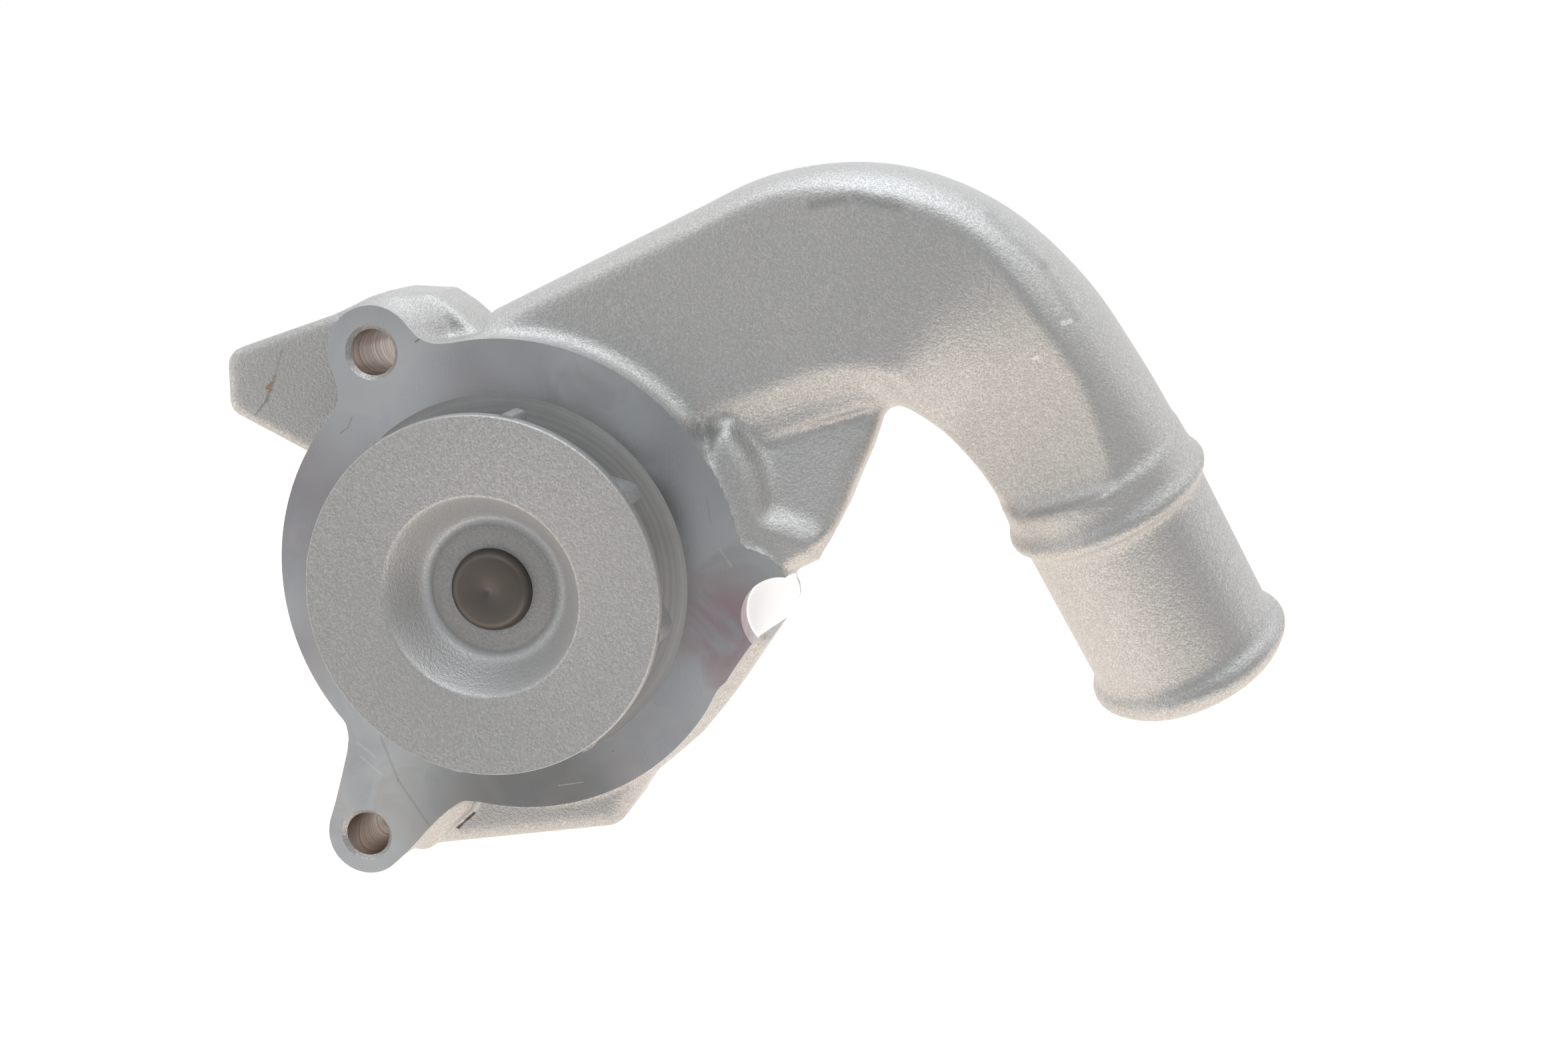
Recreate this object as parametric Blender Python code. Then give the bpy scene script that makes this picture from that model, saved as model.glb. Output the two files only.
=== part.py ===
"""Engine water pump: a cast housing with a gooseneck hose inlet, and a shaft running on an integral bearing.

The pump turns about the Y axis. The origin is on that axis, in the plane of the machined mounting face.
-Y points out of the mounting face, towards the impeller. +Y points to the drive hub. +Z is up.
"""

import math

import bmesh
import bpy
from mathutils import Matrix, Vector

MM = 0.001
GAP = 0.3 * MM  # kept between pieces that touch

# Mounting face and body
FLANGE_R = 46.6 * MM
FLANGE_CENTRE = (0.5 * MM, 0.6 * MM)
BODY_DEPTH = 31 * MM
UPPER_LUG = (-25.4 * MM, 44.0 * MM)
UPPER_LUG_R = 9.0 * MM
LOWER_LUG = (-30.7 * MM, -54.1 * MM)
LOWER_LUG_R = 8.1 * MM
BOLT_R = 4.5 * MM
BOLT_CHAMFER = 0.55 * MM
SEAT_R = 8.3 * MM  # spot face under a bolt head
SEAT_DEPTH = 2.0 * MM
BLOCK_FRONT = 6.0 * MM
ARM_FRONT = 10.0 * MM
ARM_BACK = 25.0 * MM
WEB_FRONT = 5.0 * MM
WEB_BACK = 20.0 * MM
POCKET_FLOOR = 9.5 * MM
NOTCH = (54.9 * MM, -4.8 * MM)
NOTCH_R = 7.9 * MM
NOTCH_DEPTH = 5.5 * MM

# Turned bore and suction chamber
BORE_R = 36.6 * MM
EYE_R = 24.0 * MM
CHAMBER_R = 40.0 * MM
CHAMBER_FRONT = 11 * MM
CHAMBER_BACK = 26.5 * MM

# Duct and spigot
WALL = 3.6 * MM
SPIGOT_R = 18.4 * MM
BEAD_HEIGHT = 1.4 * MM
SPIGOT_LENGTH = 40.5 * MM
SPIGOT_START = Vector((115.0, 22.2, 15.6)) * MM
SPIGOT_DOWN = math.radians(62.6)
SPIGOT_BACK = math.radians(13.6)

# Bearing neck
NECK_R = 21.5 * MM
NECK_END = 79.0 * MM
RING_R = 15.0 * MM
RING_LENGTH = 38.9 * MM
RING_START = 38.5 * MM
RING_BORE_R = 12.2 * MM
SEAL_BORE_R = 17.3 * MM
DRAIN_START = 33.3 * MM
DRAIN_R = 13.5 * MM
WEEP_R = 2.2 * MM

# Shaft, balls and hub
SHAFT_R = 7.959 * MM
SHAFT_FRONT = -9.4 * MM
SHAFT_BACK = 95.0 * MM
BALL_R = 3.0 * MM
PITCH_R = 10.4 * MM
RACE_CLEARANCE = 0.15 * MM
BALL_COUNT = 8
BALL_ROWS = {"front": 47.5 * MM, "rear": 68.4 * MM}
HUB_R = 31.0 * MM
HUB_FACE = 91.0 * MM
HUB_PITCH_R = 23.0 * MM
HUB_HOLES = 4
HUB_HOLE_R = 3.3 * MM

# Impeller
DISC_R = 35.0 * MM
DISC_FACE = -15.0 * MM
DISC_THICKNESS = 3.0 * MM
DISH_R = 19.5 * MM
BOSS_R = 12.3 * MM
BOSS_FACE = -7.15 * MM
IMPELLER_BACK = 9.0 * MM
VANES = 8
VANE_TIP_R = 34.5 * MM
VANE_ROOT_R = 11.0 * MM
VANE_REAR_ROOT = 6.0 * MM
VANE_REAR_TIP = -6.0 * MM
VANE_SWEEP = math.radians(62)
VANE_FIRST = math.radians(33)

ROUND = 44  # sides of a large round piece
SMALL_ROUND = 24


# ---------------------------------------------------------------- helpers


def clear_scene():
    for obj in list(bpy.data.objects):
        bpy.data.objects.remove(obj, do_unlink=True)


def material(name, colour, roughness, metallic):
    made = bpy.data.materials.new(name)
    made.use_nodes = True
    shader = made.node_tree.nodes["Principled BSDF"]
    shader.inputs["Base Color"].default_value = (*colour, 1.0)
    shader.inputs["Roughness"].default_value = roughness
    shader.inputs["Metallic"].default_value = metallic
    return made


def add_object(name, bm, finish=None):
    """Turns a bmesh into an object with its faces pointing out."""
    bmesh.ops.recalc_face_normals(bm, faces=bm.faces)
    mesh = bpy.data.meshes.new(name)
    bm.to_mesh(mesh)
    bm.free()
    obj = bpy.data.objects.new(name, mesh)
    bpy.context.scene.collection.objects.link(obj)
    if finish:
        mesh.materials.append(finish)
    mesh.shade_smooth()
    mesh.set_sharp_from_angle(angle=math.radians(35))
    return obj


def arc(centre, radius, start, end, count):
    """Points on an arc, both ends included, angles in degrees."""
    points = []
    for i in range(count + 1):
        angle = math.radians(start + (end - start) * i / count)
        points.append((centre[0] + radius * math.cos(angle), centre[1] + radius * math.sin(angle)))
    return points


def millimetres(points):
    return [tuple(value * MM for value in point) for point in points]


def bridge(bm, rings, closed):
    """Joins neighbouring rings of vertices with quads. A ring of one vertex is a pole."""
    pairs = list(zip(rings, rings[1:]))
    if closed:
        pairs.append((rings[-1], rings[0]))
    for near, far in pairs:
        count = max(len(near), len(far))
        for i in range(count):
            j = (i + 1) % count
            corners = [near[i % len(near)], near[j % len(near)], far[j % len(far)], far[i % len(far)]]
            face = list(dict.fromkeys(corners))
            if len(face) > 2:
                bm.faces.new(face)


def lathe(name, profile, finish=None, steps=ROUND):
    """Turns (radius, y) points about the Y axis. An open run starts and ends on the axis."""
    bm = bmesh.new()
    rings = []
    for radius, y in profile:
        count = steps if radius > 0 else 1
        ring = []
        for i in range(count):
            angle = math.tau * i / steps
            ring.append(bm.verts.new((radius * math.cos(angle), y, radius * math.sin(angle))))
        rings.append(ring)
    bridge(bm, rings, closed=profile[0][0] > 0)
    return add_object(name, bm, finish)


def prism(name, outline, front, back, finish=None):
    """Extrudes an (x, z) outline along Y."""
    bm = bmesh.new()
    near = [bm.verts.new((x, front, z)) for x, z in outline]
    far = [bm.verts.new((x, back, z)) for x, z in outline]
    bm.faces.new(near)
    bm.faces.new(far)
    bridge(bm, [near, far], closed=False)
    return add_object(name, bm, finish)


def loft(name, loops, finish=None):
    """Skins a row of closed loops and closes both ends."""
    bm = bmesh.new()
    rings = [[bm.verts.new(point) for point in loop] for loop in loops]
    bridge(bm, rings, closed=False)
    bm.faces.new(rings[0])
    bm.faces.new(rings[-1])
    return add_object(name, bm, finish)


def drill(name, centre, radius, front, back, chamfer=0.0, steps=16):
    """A cylinder along Y for cutting a hole, with an optional chamfer where it meets y = 0."""
    profile = [(0, front)]
    if chamfer:
        profile += [(radius + chamfer + abs(front), front), (radius, chamfer)]
    else:
        profile += [(radius, front)]
    profile += [(radius, back), (0, back)]
    cutter = lathe(name, profile, steps=steps)
    cutter.location = (centre[0], 0, centre[1])
    return cutter


def combine(target, helper, operation, solver="EXACT"):
    """Boolean of a helper object, which stays in the file as a hidden wire."""
    modifier = target.modifiers.new(helper.name, "BOOLEAN")
    modifier.operation = operation
    modifier.solver = solver
    modifier.object = helper
    helper.hide_render = True
    helper.display_type = "WIRE"


# ---------------------------------------------------------------- housing


def flange_outline():
    """The mounting face: a disc with an upper lug, a lower lug and a lobe on the right."""
    points = millimetres([(53.3, 5.7), (51.6, 7.1), (47.6, 8.4), (45.6, 10.4)])
    points += arc(FLANGE_CENTRE, FLANGE_R, 16, 100, 14)
    points += millimetres([(-13.4, 46.2), (-15.6, 47.0)])
    points += arc(UPPER_LUG, UPPER_LUG_R, 45, 194, 10)
    points += millimetres([(-32.4, 37.4), (-32.5, 34.6)])
    points += arc(FLANGE_CENTRE, FLANGE_R, 138, 219, 13)
    points += millimetres([(-33.4, -35.0), (-36.8, -46.5)])
    points += arc(LOWER_LUG, LOWER_LUG_R, 168, 314, 10)
    points += millimetres([(-18.3, -52.7), (-13.5, -47.8), (-10.6, -45.7)])
    points += arc(FLANGE_CENTRE, FLANGE_R, 260, 328, 11)
    points += millimetres([(43.4, -18.5), (48.9, -10.2), (54.4, -5.6), (57.4, -1.0), (56.6, 1.6)])
    return points


def lower_block_outline():
    """The thick lower part of the chamber, behind the mounting face."""
    points = millimetres([(-36.5, -46.0), (-27.0, -59.4)])
    points += arc((17.2 * MM, -47.4 * MM), 4.6 * MM, -82, -16, 5)
    points += millimetres([(31.5, -35.6), (53.4, -9.4), (48.0, -4.0), (20.0, -20.0), (-20.0, -20.0)])
    return points


def arm_outline():
    """The side arm that reaches out to the upper left."""
    points = arc((-56.4 * MM, 32.4 * MM), 3.2 * MM, 245, 180, 4)
    points += arc((-55.6 * MM, 39.4 * MM), 4.0 * MM, 180, 110, 4)
    points += millimetres([(-38.0, 49.6)])
    points += arc((-23.5 * MM, 43.8 * MM), 11.4 * MM, 118, 50, 6)
    points += millimetres([(-9.0, 46.0), (-20.0, 20.0), (-44.0, 22.0)])
    return points


def web_outline():
    """The web under the duct, between the body and the bend."""
    points = millimetres([(40.0, 40.0), (76.0, 44.0), (74.2, 34.8), (71.4, 30.2)])
    points += millimetres([(65.2, 14.2), (63.7, 10.3), (60.6, 4.4), (54.0, 0.6), (38.0, 0.0)])
    return points


def pocket_outline():
    """The cast pocket in the web, open to the underside of the duct."""
    return millimetres([(42.4, 27.0), (66.5, 31.5), (63.0, 20.0), (57.5, 9.4), (50.5, 11.6)])


def duct_stations(shrink):
    """(centre, side, depth) half sizes and squareness along the gooseneck, shrunk by the wall for its inside."""
    stations = [
        ((4.0, 18.0, 33.0), 41.0, 27.0, 5.0),
        ((25.0, 18.0, 43.2), 41.0, 27.5, 5.0),
        ((44.6, 18.4, 52.6), 41.5, 29.0, 5.0),
        ((57.6, 18.8, 57.2), 43.5, 31.0, 4.6),
        ((70.2, 19.3, 57.2), 45.2, 33.0, 4.0),
        ((82.8, 20.0, 53.0), 44.0, 34.6, 3.4),
        ((94.4, 20.6, 44.8), 40.6, 36.0, 2.8),
        ((103.8, 21.0, 34.0), 37.8, 37.2, 2.3),
        ((110.8, 21.6, 23.6), 36.8, 36.8, 2.0),
    ]
    return [
        (Vector(centre) * MM, side * MM / 2 - shrink, depth * MM / 2 - shrink, power)
        for centre, side, depth, power in stations
    ]


def spigot_direction():
    flat = math.cos(SPIGOT_BACK)
    return Vector((
        math.cos(SPIGOT_DOWN) * flat,
        math.sin(SPIGOT_BACK),
        -math.sin(SPIGOT_DOWN) * flat,
    ))


def section(centre, tangent, side, depth, power, count):
    """A superellipse across the duct: power 2 is round, a higher power is squarer."""
    across = Vector((tangent.z, 0, -tangent.x)).normalized()
    inward = tangent.cross(across).normalized()
    loop = []
    for i in range(count):
        angle = math.tau * (i + 0.5) / count
        c = math.cos(angle)
        s = math.sin(angle)
        u = math.copysign(abs(c) ** (2 / power), c) * side
        v = math.copysign(abs(s) ** (2 / power), s) * depth
        loop.append(centre + across * u + inward * v)
    return loop


def spline(values, t):
    """Catmull-Rom through a list of numbers or vectors, t counted in stations."""
    i = min(int(t), len(values) - 2)
    f = t - i
    b = values[i]
    c = values[i + 1]
    a = values[i - 1] if i > 0 else b + (b - c)
    d = values[i + 2] if i + 2 < len(values) else c + (c - b)
    return 0.5 * (2 * b + (c - a) * f + (2 * a - 5 * b + 4 * c - d) * f * f + (3 * b - a - 3 * c + d) * f ** 3)


def spigot_profile(shrink, overshoot):
    """(distance along the spigot, radius): two beads outside, a plain bore inside."""
    if shrink:
        return [(0.0, SPIGOT_R - shrink), (SPIGOT_LENGTH + overshoot, SPIGOT_R - shrink)]
    bead = SPIGOT_R + BEAD_HEIGHT
    shape = [(-4.5, SPIGOT_R), (-3.2, SPIGOT_R + 0.5 * MM), (-2.0, bead), (-0.8, SPIGOT_R + 0.5 * MM)]
    lip = bead + 0.5 * MM
    shape += [(0.6, SPIGOT_R), (30.5, SPIGOT_R), (32.6, SPIGOT_R + 0.6 * MM), (34.6, lip), (37.4, lip)]
    shape += [(39.4, SPIGOT_R + 0.4 * MM), (SPIGOT_LENGTH / MM, SPIGOT_R - 0.8 * MM)]
    return [(along * MM, radius) for along, radius in shape]


def duct_solid(name, shrink, overshoot, count=24, first=0.0):
    """The gooseneck from the chamber to the mouth, or its inside when shrink is the wall."""
    stations = duct_stations(shrink)
    centres = [station[0] for station in stations] + [SPIGOT_START]
    loops = []
    samples = 15
    last = len(stations) - 1
    for i in range(samples + 1):
        t = first + (last - first) * i / samples
        centre = spline(centres, t)
        tangent = (spline(centres, t + 0.02) - spline(centres, t - 0.02 if t > 0.02 else t)).normalized()
        size = [spline([station[k] for station in stations], t) for k in (1, 2, 3)]
        loops.append(section(centre, tangent, size[0], size[1], size[2], count))
    direction = spigot_direction()
    for along, radius in spigot_profile(shrink, overshoot):
        loops.append(section(SPIGOT_START + direction * along, direction, radius, radius, 2.0, count))
    return loft(name, loops)


def neck_solid():
    """The rear of the housing: a cone from the chamber down to the bearing neck."""
    profile = millimetres([(0, 20), (41, 24), (41, 31), (27, 39)])
    profile += [(NECK_R + 1 * MM, 45 * MM), (NECK_R, NECK_END - 1 * MM)]
    profile += [(NECK_R - 1 * MM, NECK_END), (0, NECK_END)]
    return lathe("neck", profile)


def rib_solid(angle, reach):
    """A cast rib between the chamber's back and the neck."""
    outline = [(NECK_R - 4 * MM, 28 * MM), (reach, 28 * MM), (reach, 32 * MM), (NECK_R - 1 * MM, 64 * MM)]
    half = 2.6 * MM
    bm = bmesh.new()
    rings = []
    for offset in (-half, half):
        rings.append([bm.verts.new((radius, y, offset)) for radius, y in outline])
    bm.faces.new(rings[0])
    bm.faces.new(rings[1])
    bridge(bm, rings, closed=False)
    rib = add_object(f"rib_{round(math.degrees(angle))}", bm)
    rib.rotation_euler = (0, -angle, 0)
    return rib


def bore_cutter():
    """Everything that is turned or cored about the shaft's axis, from the mounting face to the bearing."""
    profile = [
        (0, -1 * MM),
        (BORE_R, -1 * MM),
        (BORE_R, 0.2 * MM),
        (33 * MM, 3 * MM),
        (EYE_R, 7.5 * MM),
        (EYE_R, CHAMBER_FRONT),
        (CHAMBER_R, CHAMBER_FRONT + 1 * MM),
        (CHAMBER_R, CHAMBER_BACK - 3 * MM),
        (CHAMBER_R - 3 * MM, CHAMBER_BACK),
        (SEAL_BORE_R, CHAMBER_BACK),
        (SEAL_BORE_R, DRAIN_START),
        (DRAIN_R, DRAIN_START),
        (DRAIN_R, RING_START - GAP),
        (RING_R + GAP, RING_START - GAP),
        (RING_R + GAP, NECK_END + 1 * MM),
        (0, NECK_END + 1 * MM),
    ]
    return lathe("bore_cutter", profile)


def housing(finish):
    body = prism("housing", flange_outline(), 0, BODY_DEPTH, finish)
    combine(body, prism("lower_block", lower_block_outline(), BLOCK_FRONT, BODY_DEPTH - 1 * MM), "UNION")
    combine(body, prism("side_arm", arm_outline(), ARM_FRONT, ARM_BACK), "UNION")
    combine(body, prism("web", web_outline(), WEB_FRONT, WEB_BACK), "UNION")
    combine(body, prism("web_pocket", pocket_outline(), -1 * MM, POCKET_FLOOR), "DIFFERENCE")
    combine(body, duct_solid("duct", 0.0, 0.0), "UNION")
    combine(body, neck_solid(), "UNION")
    for degrees, reach in ((75, 44), (165, 44), (240, 50), (305, 44)):
        combine(body, rib_solid(math.radians(degrees), reach * MM), "UNION")
    cuts = [bore_cutter(), duct_solid("duct_inside", WALL, 2 * MM, count=20, first=0.9)]
    for name, centre in (("upper", UPPER_LUG), ("lower", LOWER_LUG)):
        cuts.append(drill(f"{name}_bolt_hole", centre, BOLT_R, -1 * MM, BODY_DEPTH + 9 * MM, BOLT_CHAMFER))
        cuts.append(drill(f"{name}_bolt_seat", centre, SEAT_R, BODY_DEPTH - SEAT_DEPTH, BODY_DEPTH + 8 * MM))
    cuts.append(drill("notch", NOTCH, NOTCH_R, -1 * MM, NOTCH_DEPTH))
    weep = lathe("weep_hole", [(0, 0), (WEEP_R, 0), (WEEP_R, 40 * MM), (0, 40 * MM)], steps=16)
    weep.rotation_euler = (math.radians(-90), 0, 0)
    weep.location = (0, (DRAIN_START + RING_START) / 2, -DRAIN_R / 2)
    cuts.append(weep)
    for cutter in cuts:
        combine(body, cutter, "DIFFERENCE", "MANIFOLD")
    return body


# ---------------------------------------------------------------- rotor


def race_groove(y, surface_r, outward):
    """Profile points of a ball groove in a shaft (outward) or in a ring, from low y to high y."""
    radius = BALL_R + RACE_CLEARANCE
    depth = surface_r - PITCH_R
    reach = math.asin(min(1.0, math.sqrt(radius**2 - depth**2) / radius))
    points = []
    steps = 4
    for i in range(steps + 1):
        angle = -reach + 2 * reach * i / steps
        across = radius * math.cos(angle)
        points.append((PITCH_R - across if outward else PITCH_R + across, y + radius * math.sin(angle)))
    return points


def shaft(finish):
    profile = [(0, SHAFT_FRONT), (6.2 * MM, SHAFT_FRONT)]
    profile += [(7.2 * MM, SHAFT_FRONT + 0.6 * MM), (SHAFT_R, SHAFT_FRONT + 2 * MM)]
    for y in BALL_ROWS.values():
        profile += race_groove(y, SHAFT_R, outward=True)
    profile += [(SHAFT_R, SHAFT_BACK - 1 * MM), (SHAFT_R - 1 * MM, SHAFT_BACK), (0, SHAFT_BACK)]
    return lathe("shaft", profile, finish, SMALL_ROUND)


def disc_middle(radius):
    """Y of the middle of the disc's wall, which dishes back towards the boss."""
    dish = millimetres([(11.0, -1.5), (14.2, -2.6), (16.6, -6.7), (19.4, -10.9), (22.0, -13.4), (35.5, -13.4)])
    for (r0, y0), (r1, y1) in zip(dish, dish[1:]):
        if radius <= r1:
            return y0 + (y1 - y0) * max(0.0, radius - r0) / (r1 - r0)
    return dish[-1][1]


def vane_solid(angle, bm):
    """Adds one swept vane to bm: it trails clockwise as it goes out, and thins to a rounded tip."""
    steps = 9
    sides = ([], [])
    for i in range(steps + 1):
        f = i / steps
        radius = VANE_ROOT_R + (VANE_TIP_R - VANE_ROOT_R) * f
        turn = angle + VANE_SWEEP * (1 - f) ** 1.25
        half = (2.3 - 0.7 * f) * MM if i < steps else 0.7 * MM
        centre = Vector((radius * math.cos(turn), 0, radius * math.sin(turn)))
        heading = turn - math.radians(48)
        across = Vector((math.sin(heading), 0, -math.cos(heading)))
        rear = VANE_REAR_ROOT + (VANE_REAR_TIP - VANE_REAR_ROOT) * f
        for side, sign in zip(sides, (1, -1)):
            side.append((centre + across * half * sign, rear))
    outline = sides[0] + sides[1][::-1]
    near = [bm.verts.new((point.x, disc_middle(point.length), point.z)) for point, rear in outline]
    far = [bm.verts.new((point.x, rear, point.z)) for point, rear in outline]
    bridge(bm, [near, far], closed=False)
    last = len(outline) - 1
    for ring in (near, far):
        for i in range(steps):
            bm.faces.new((ring[i], ring[i + 1], ring[last - i - 1], ring[last - i]))


def impeller(finish):
    back = DISC_FACE + DISC_THICKNESS
    bore = SHAFT_R + GAP
    profile = [(bore, BOSS_FACE), (BOSS_R - 0.6 * MM, BOSS_FACE), (BOSS_R, BOSS_FACE + 0.6 * MM)]
    profile += millimetres([(12.6, -5.4), (14.2, -6.6), (16.2, -9.6), (18.0, -13.0)])
    profile += [(DISH_R, DISC_FACE), (DISC_R - 0.4 * MM, DISC_FACE), (DISC_R, DISC_FACE + 0.4 * MM)]
    profile += [(DISC_R, back), (22.0 * MM, back)]
    profile += millimetres([(19.4, -7.0), (16.6, -3.0), (14.4, 2.0)])
    profile += [(12.6 * MM, IMPELLER_BACK), (bore, IMPELLER_BACK)]
    body = lathe("impeller", profile, finish)
    bm = bmesh.new()
    for i in range(VANES):
        vane_solid(VANE_FIRST + math.tau * i / VANES, bm)
    combine(body, add_object("vanes", bm), "UNION", "MANIFOLD")
    return body


def drive_hub(finish):
    """The flange that carries the pulley, with a pilot and threaded holes."""
    bore = SHAFT_R + GAP
    profile = [(bore, 80.5 * MM), (13 * MM, 80.5 * MM), (14 * MM, 86 * MM), (HUB_R - 1 * MM, 86 * MM)]
    profile += [(HUB_R, 87 * MM), (HUB_R, HUB_FACE - 0.6 * MM), (HUB_R - 0.6 * MM, HUB_FACE)]
    profile += [(15 * MM, HUB_FACE), (15 * MM, 95.4 * MM), (14.4 * MM, 96 * MM), (bore, 96 * MM)]
    hub = lathe("drive_hub", profile, finish)
    for i in range(HUB_HOLES):
        angle = math.tau * (i + 0.5) / HUB_HOLES
        centre = (HUB_PITCH_R * math.cos(angle), HUB_PITCH_R * math.sin(angle))
        combine(hub, drill(f"hub_hole_{i + 1}", centre, HUB_HOLE_R, 84 * MM, 93 * MM, steps=12), "DIFFERENCE")
    return hub


# ---------------------------------------------------------------- bearing


def outer_ring(finish):
    end = RING_START + RING_LENGTH
    chamfer = 0.6 * MM
    profile = [(RING_BORE_R, RING_START), (RING_R - chamfer, RING_START), (RING_R, RING_START + chamfer)]
    profile += [(RING_R, end - chamfer), (RING_R - chamfer, end), (RING_BORE_R, end)]
    for y in reversed(BALL_ROWS.values()):
        profile += race_groove(y, RING_BORE_R, outward=False)[::-1]
    return lathe("bearing_outer_ring", profile, finish, SMALL_ROUND)


def ball_centre(row_y, i):
    angle = math.tau * i / BALL_COUNT
    return Vector((PITCH_R * math.cos(angle), row_y, PITCH_R * math.sin(angle)))


def balls(row, row_y, finish, parent):
    mesh = None
    for i in range(BALL_COUNT):
        name = f"ball_{row}_{i + 1}"
        if mesh is None:
            bm = bmesh.new()
            bmesh.ops.create_uvsphere(bm, u_segments=8, v_segments=6, radius=BALL_R)
            ball = add_object(name, bm, finish)
            mesh = ball.data
        else:
            ball = bpy.data.objects.new(name, mesh)
            bpy.context.scene.collection.objects.link(ball)
        ball.location = ball_centre(row_y, i)
        ball.parent = parent


def cage(row, row_y, finish):
    """A crown cage: a ring beside the balls, with a finger between each two of them."""
    outer = PITCH_R + 1.1 * MM
    inner = PITCH_R - 1.1 * MM
    ring = [(inner, row_y - 4.8 * MM), (outer, row_y - 4.8 * MM), (outer, row_y + 1.4 * MM), (inner, row_y + 1.4 * MM)]
    body = lathe(f"bearing_cage_{row}", ring, finish, steps=32)
    bm = bmesh.new()
    for i in range(BALL_COUNT):
        place = Matrix.Translation(ball_centre(row_y, i))
        bmesh.ops.create_uvsphere(bm, u_segments=8, v_segments=6, radius=BALL_R + 1.2 * GAP, matrix=place)
    combine(body, add_object(f"pockets_{row}", bm), "DIFFERENCE")
    return body


def lip_seal(name, y, finish):
    """A thin ring with its lip turned towards the shaft."""
    outer = RING_BORE_R - GAP
    lip = SHAFT_R + GAP
    profile = [(lip, y + 0.6 * MM), (lip + 1.2 * MM, y), (outer, y), (outer, y + 1.8 * MM)]
    profile += [(lip + 1.4 * MM, y + 1.8 * MM), (lip, y + 1.1 * MM)]
    return lathe(name, profile, finish, SMALL_ROUND)


# ---------------------------------------------------------------- face seal


def ring_piece(name, points, finish):
    return lathe(name, millimetres(points), finish, SMALL_ROUND)


def spring(finish):
    """A helical wire between the washer and the bellows' rear flange."""
    turns = 4
    per_turn = 14
    radius = 14.9 * MM
    wire = 0.55 * MM
    start = 19.9 * MM
    end = 29.9 * MM
    loops = []
    for i in range(turns * per_turn + 1):
        angle = math.tau * i / per_turn
        y = start + (end - start) * i / (turns * per_turn)
        out = Vector((math.cos(angle), 0, math.sin(angle)))
        centre = out * radius + Vector((0, y, 0))
        loop = []
        for j in range(5):
            turn = math.tau * j / 5
            loop.append(centre + out * wire * math.cos(turn) + Vector((0, wire * math.sin(turn), 0)))
        loops.append(loop)
    return loft("seal_spring", loops, finish)


def face_seal(steel, rubber, carbon, ceramic):
    ring_piece("seat_boot", [(8.26, 9.4), (14.6, 9.4), (14.6, 14.4), (13.5, 14.4), (13.5, 10.6), (8.26, 10.6)], rubber)
    ring_piece("seat_ring", [(8.8, 10.9), (13.2, 10.9), (13.2, 14.9), (12.7, 15.4), (8.8, 15.4)], ceramic)
    ring_piece("carbon_ring", [(9.6, 15.7), (12.2, 15.7), (12.2, 17.7), (13.2, 17.7), (13.2, 21.0), (9.6, 21.0)], carbon)
    ring_piece("spring_washer", [(13.5, 18.2), (15.8, 18.2), (15.8, 19.0), (13.5, 19.0)], steel)
    bellows = [(9.8, 21.3), (13.2, 21.3), (13.2, 22.5), (11.9, 22.9), (11.9, 24.0), (13.6, 25.6), (13.6, 26.8)]
    bellows += [(11.9, 28.4), (11.9, 30.8), (15.8, 30.8), (15.8, 31.7), (9.8, 31.7), (10.7, 30.4), (10.7, 27.9)]
    bellows += [(12.4, 26.5), (12.4, 25.9), (10.7, 24.5), (10.7, 22.6)]
    ring_piece("seal_bellows", bellows, rubber)
    cup = [(17.0, 26.2), (17.0, 33.0), (9.4, 33.0), (9.4, 32.0), (16.1, 32.0), (16.1, 25.3), (20.0, 25.3), (20.0, 26.2)]
    ring_piece("seal_cup", cup, steel)
    spring(steel)


# ---------------------------------------------------------------- assembly


def joint_empty(name):
    """An empty on the shaft's axis that the pieces which turn together hang from."""
    empty = bpy.data.objects.new(name, None)
    empty.empty_display_size = 0.02
    bpy.context.scene.collection.objects.link(empty)
    return empty


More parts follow.
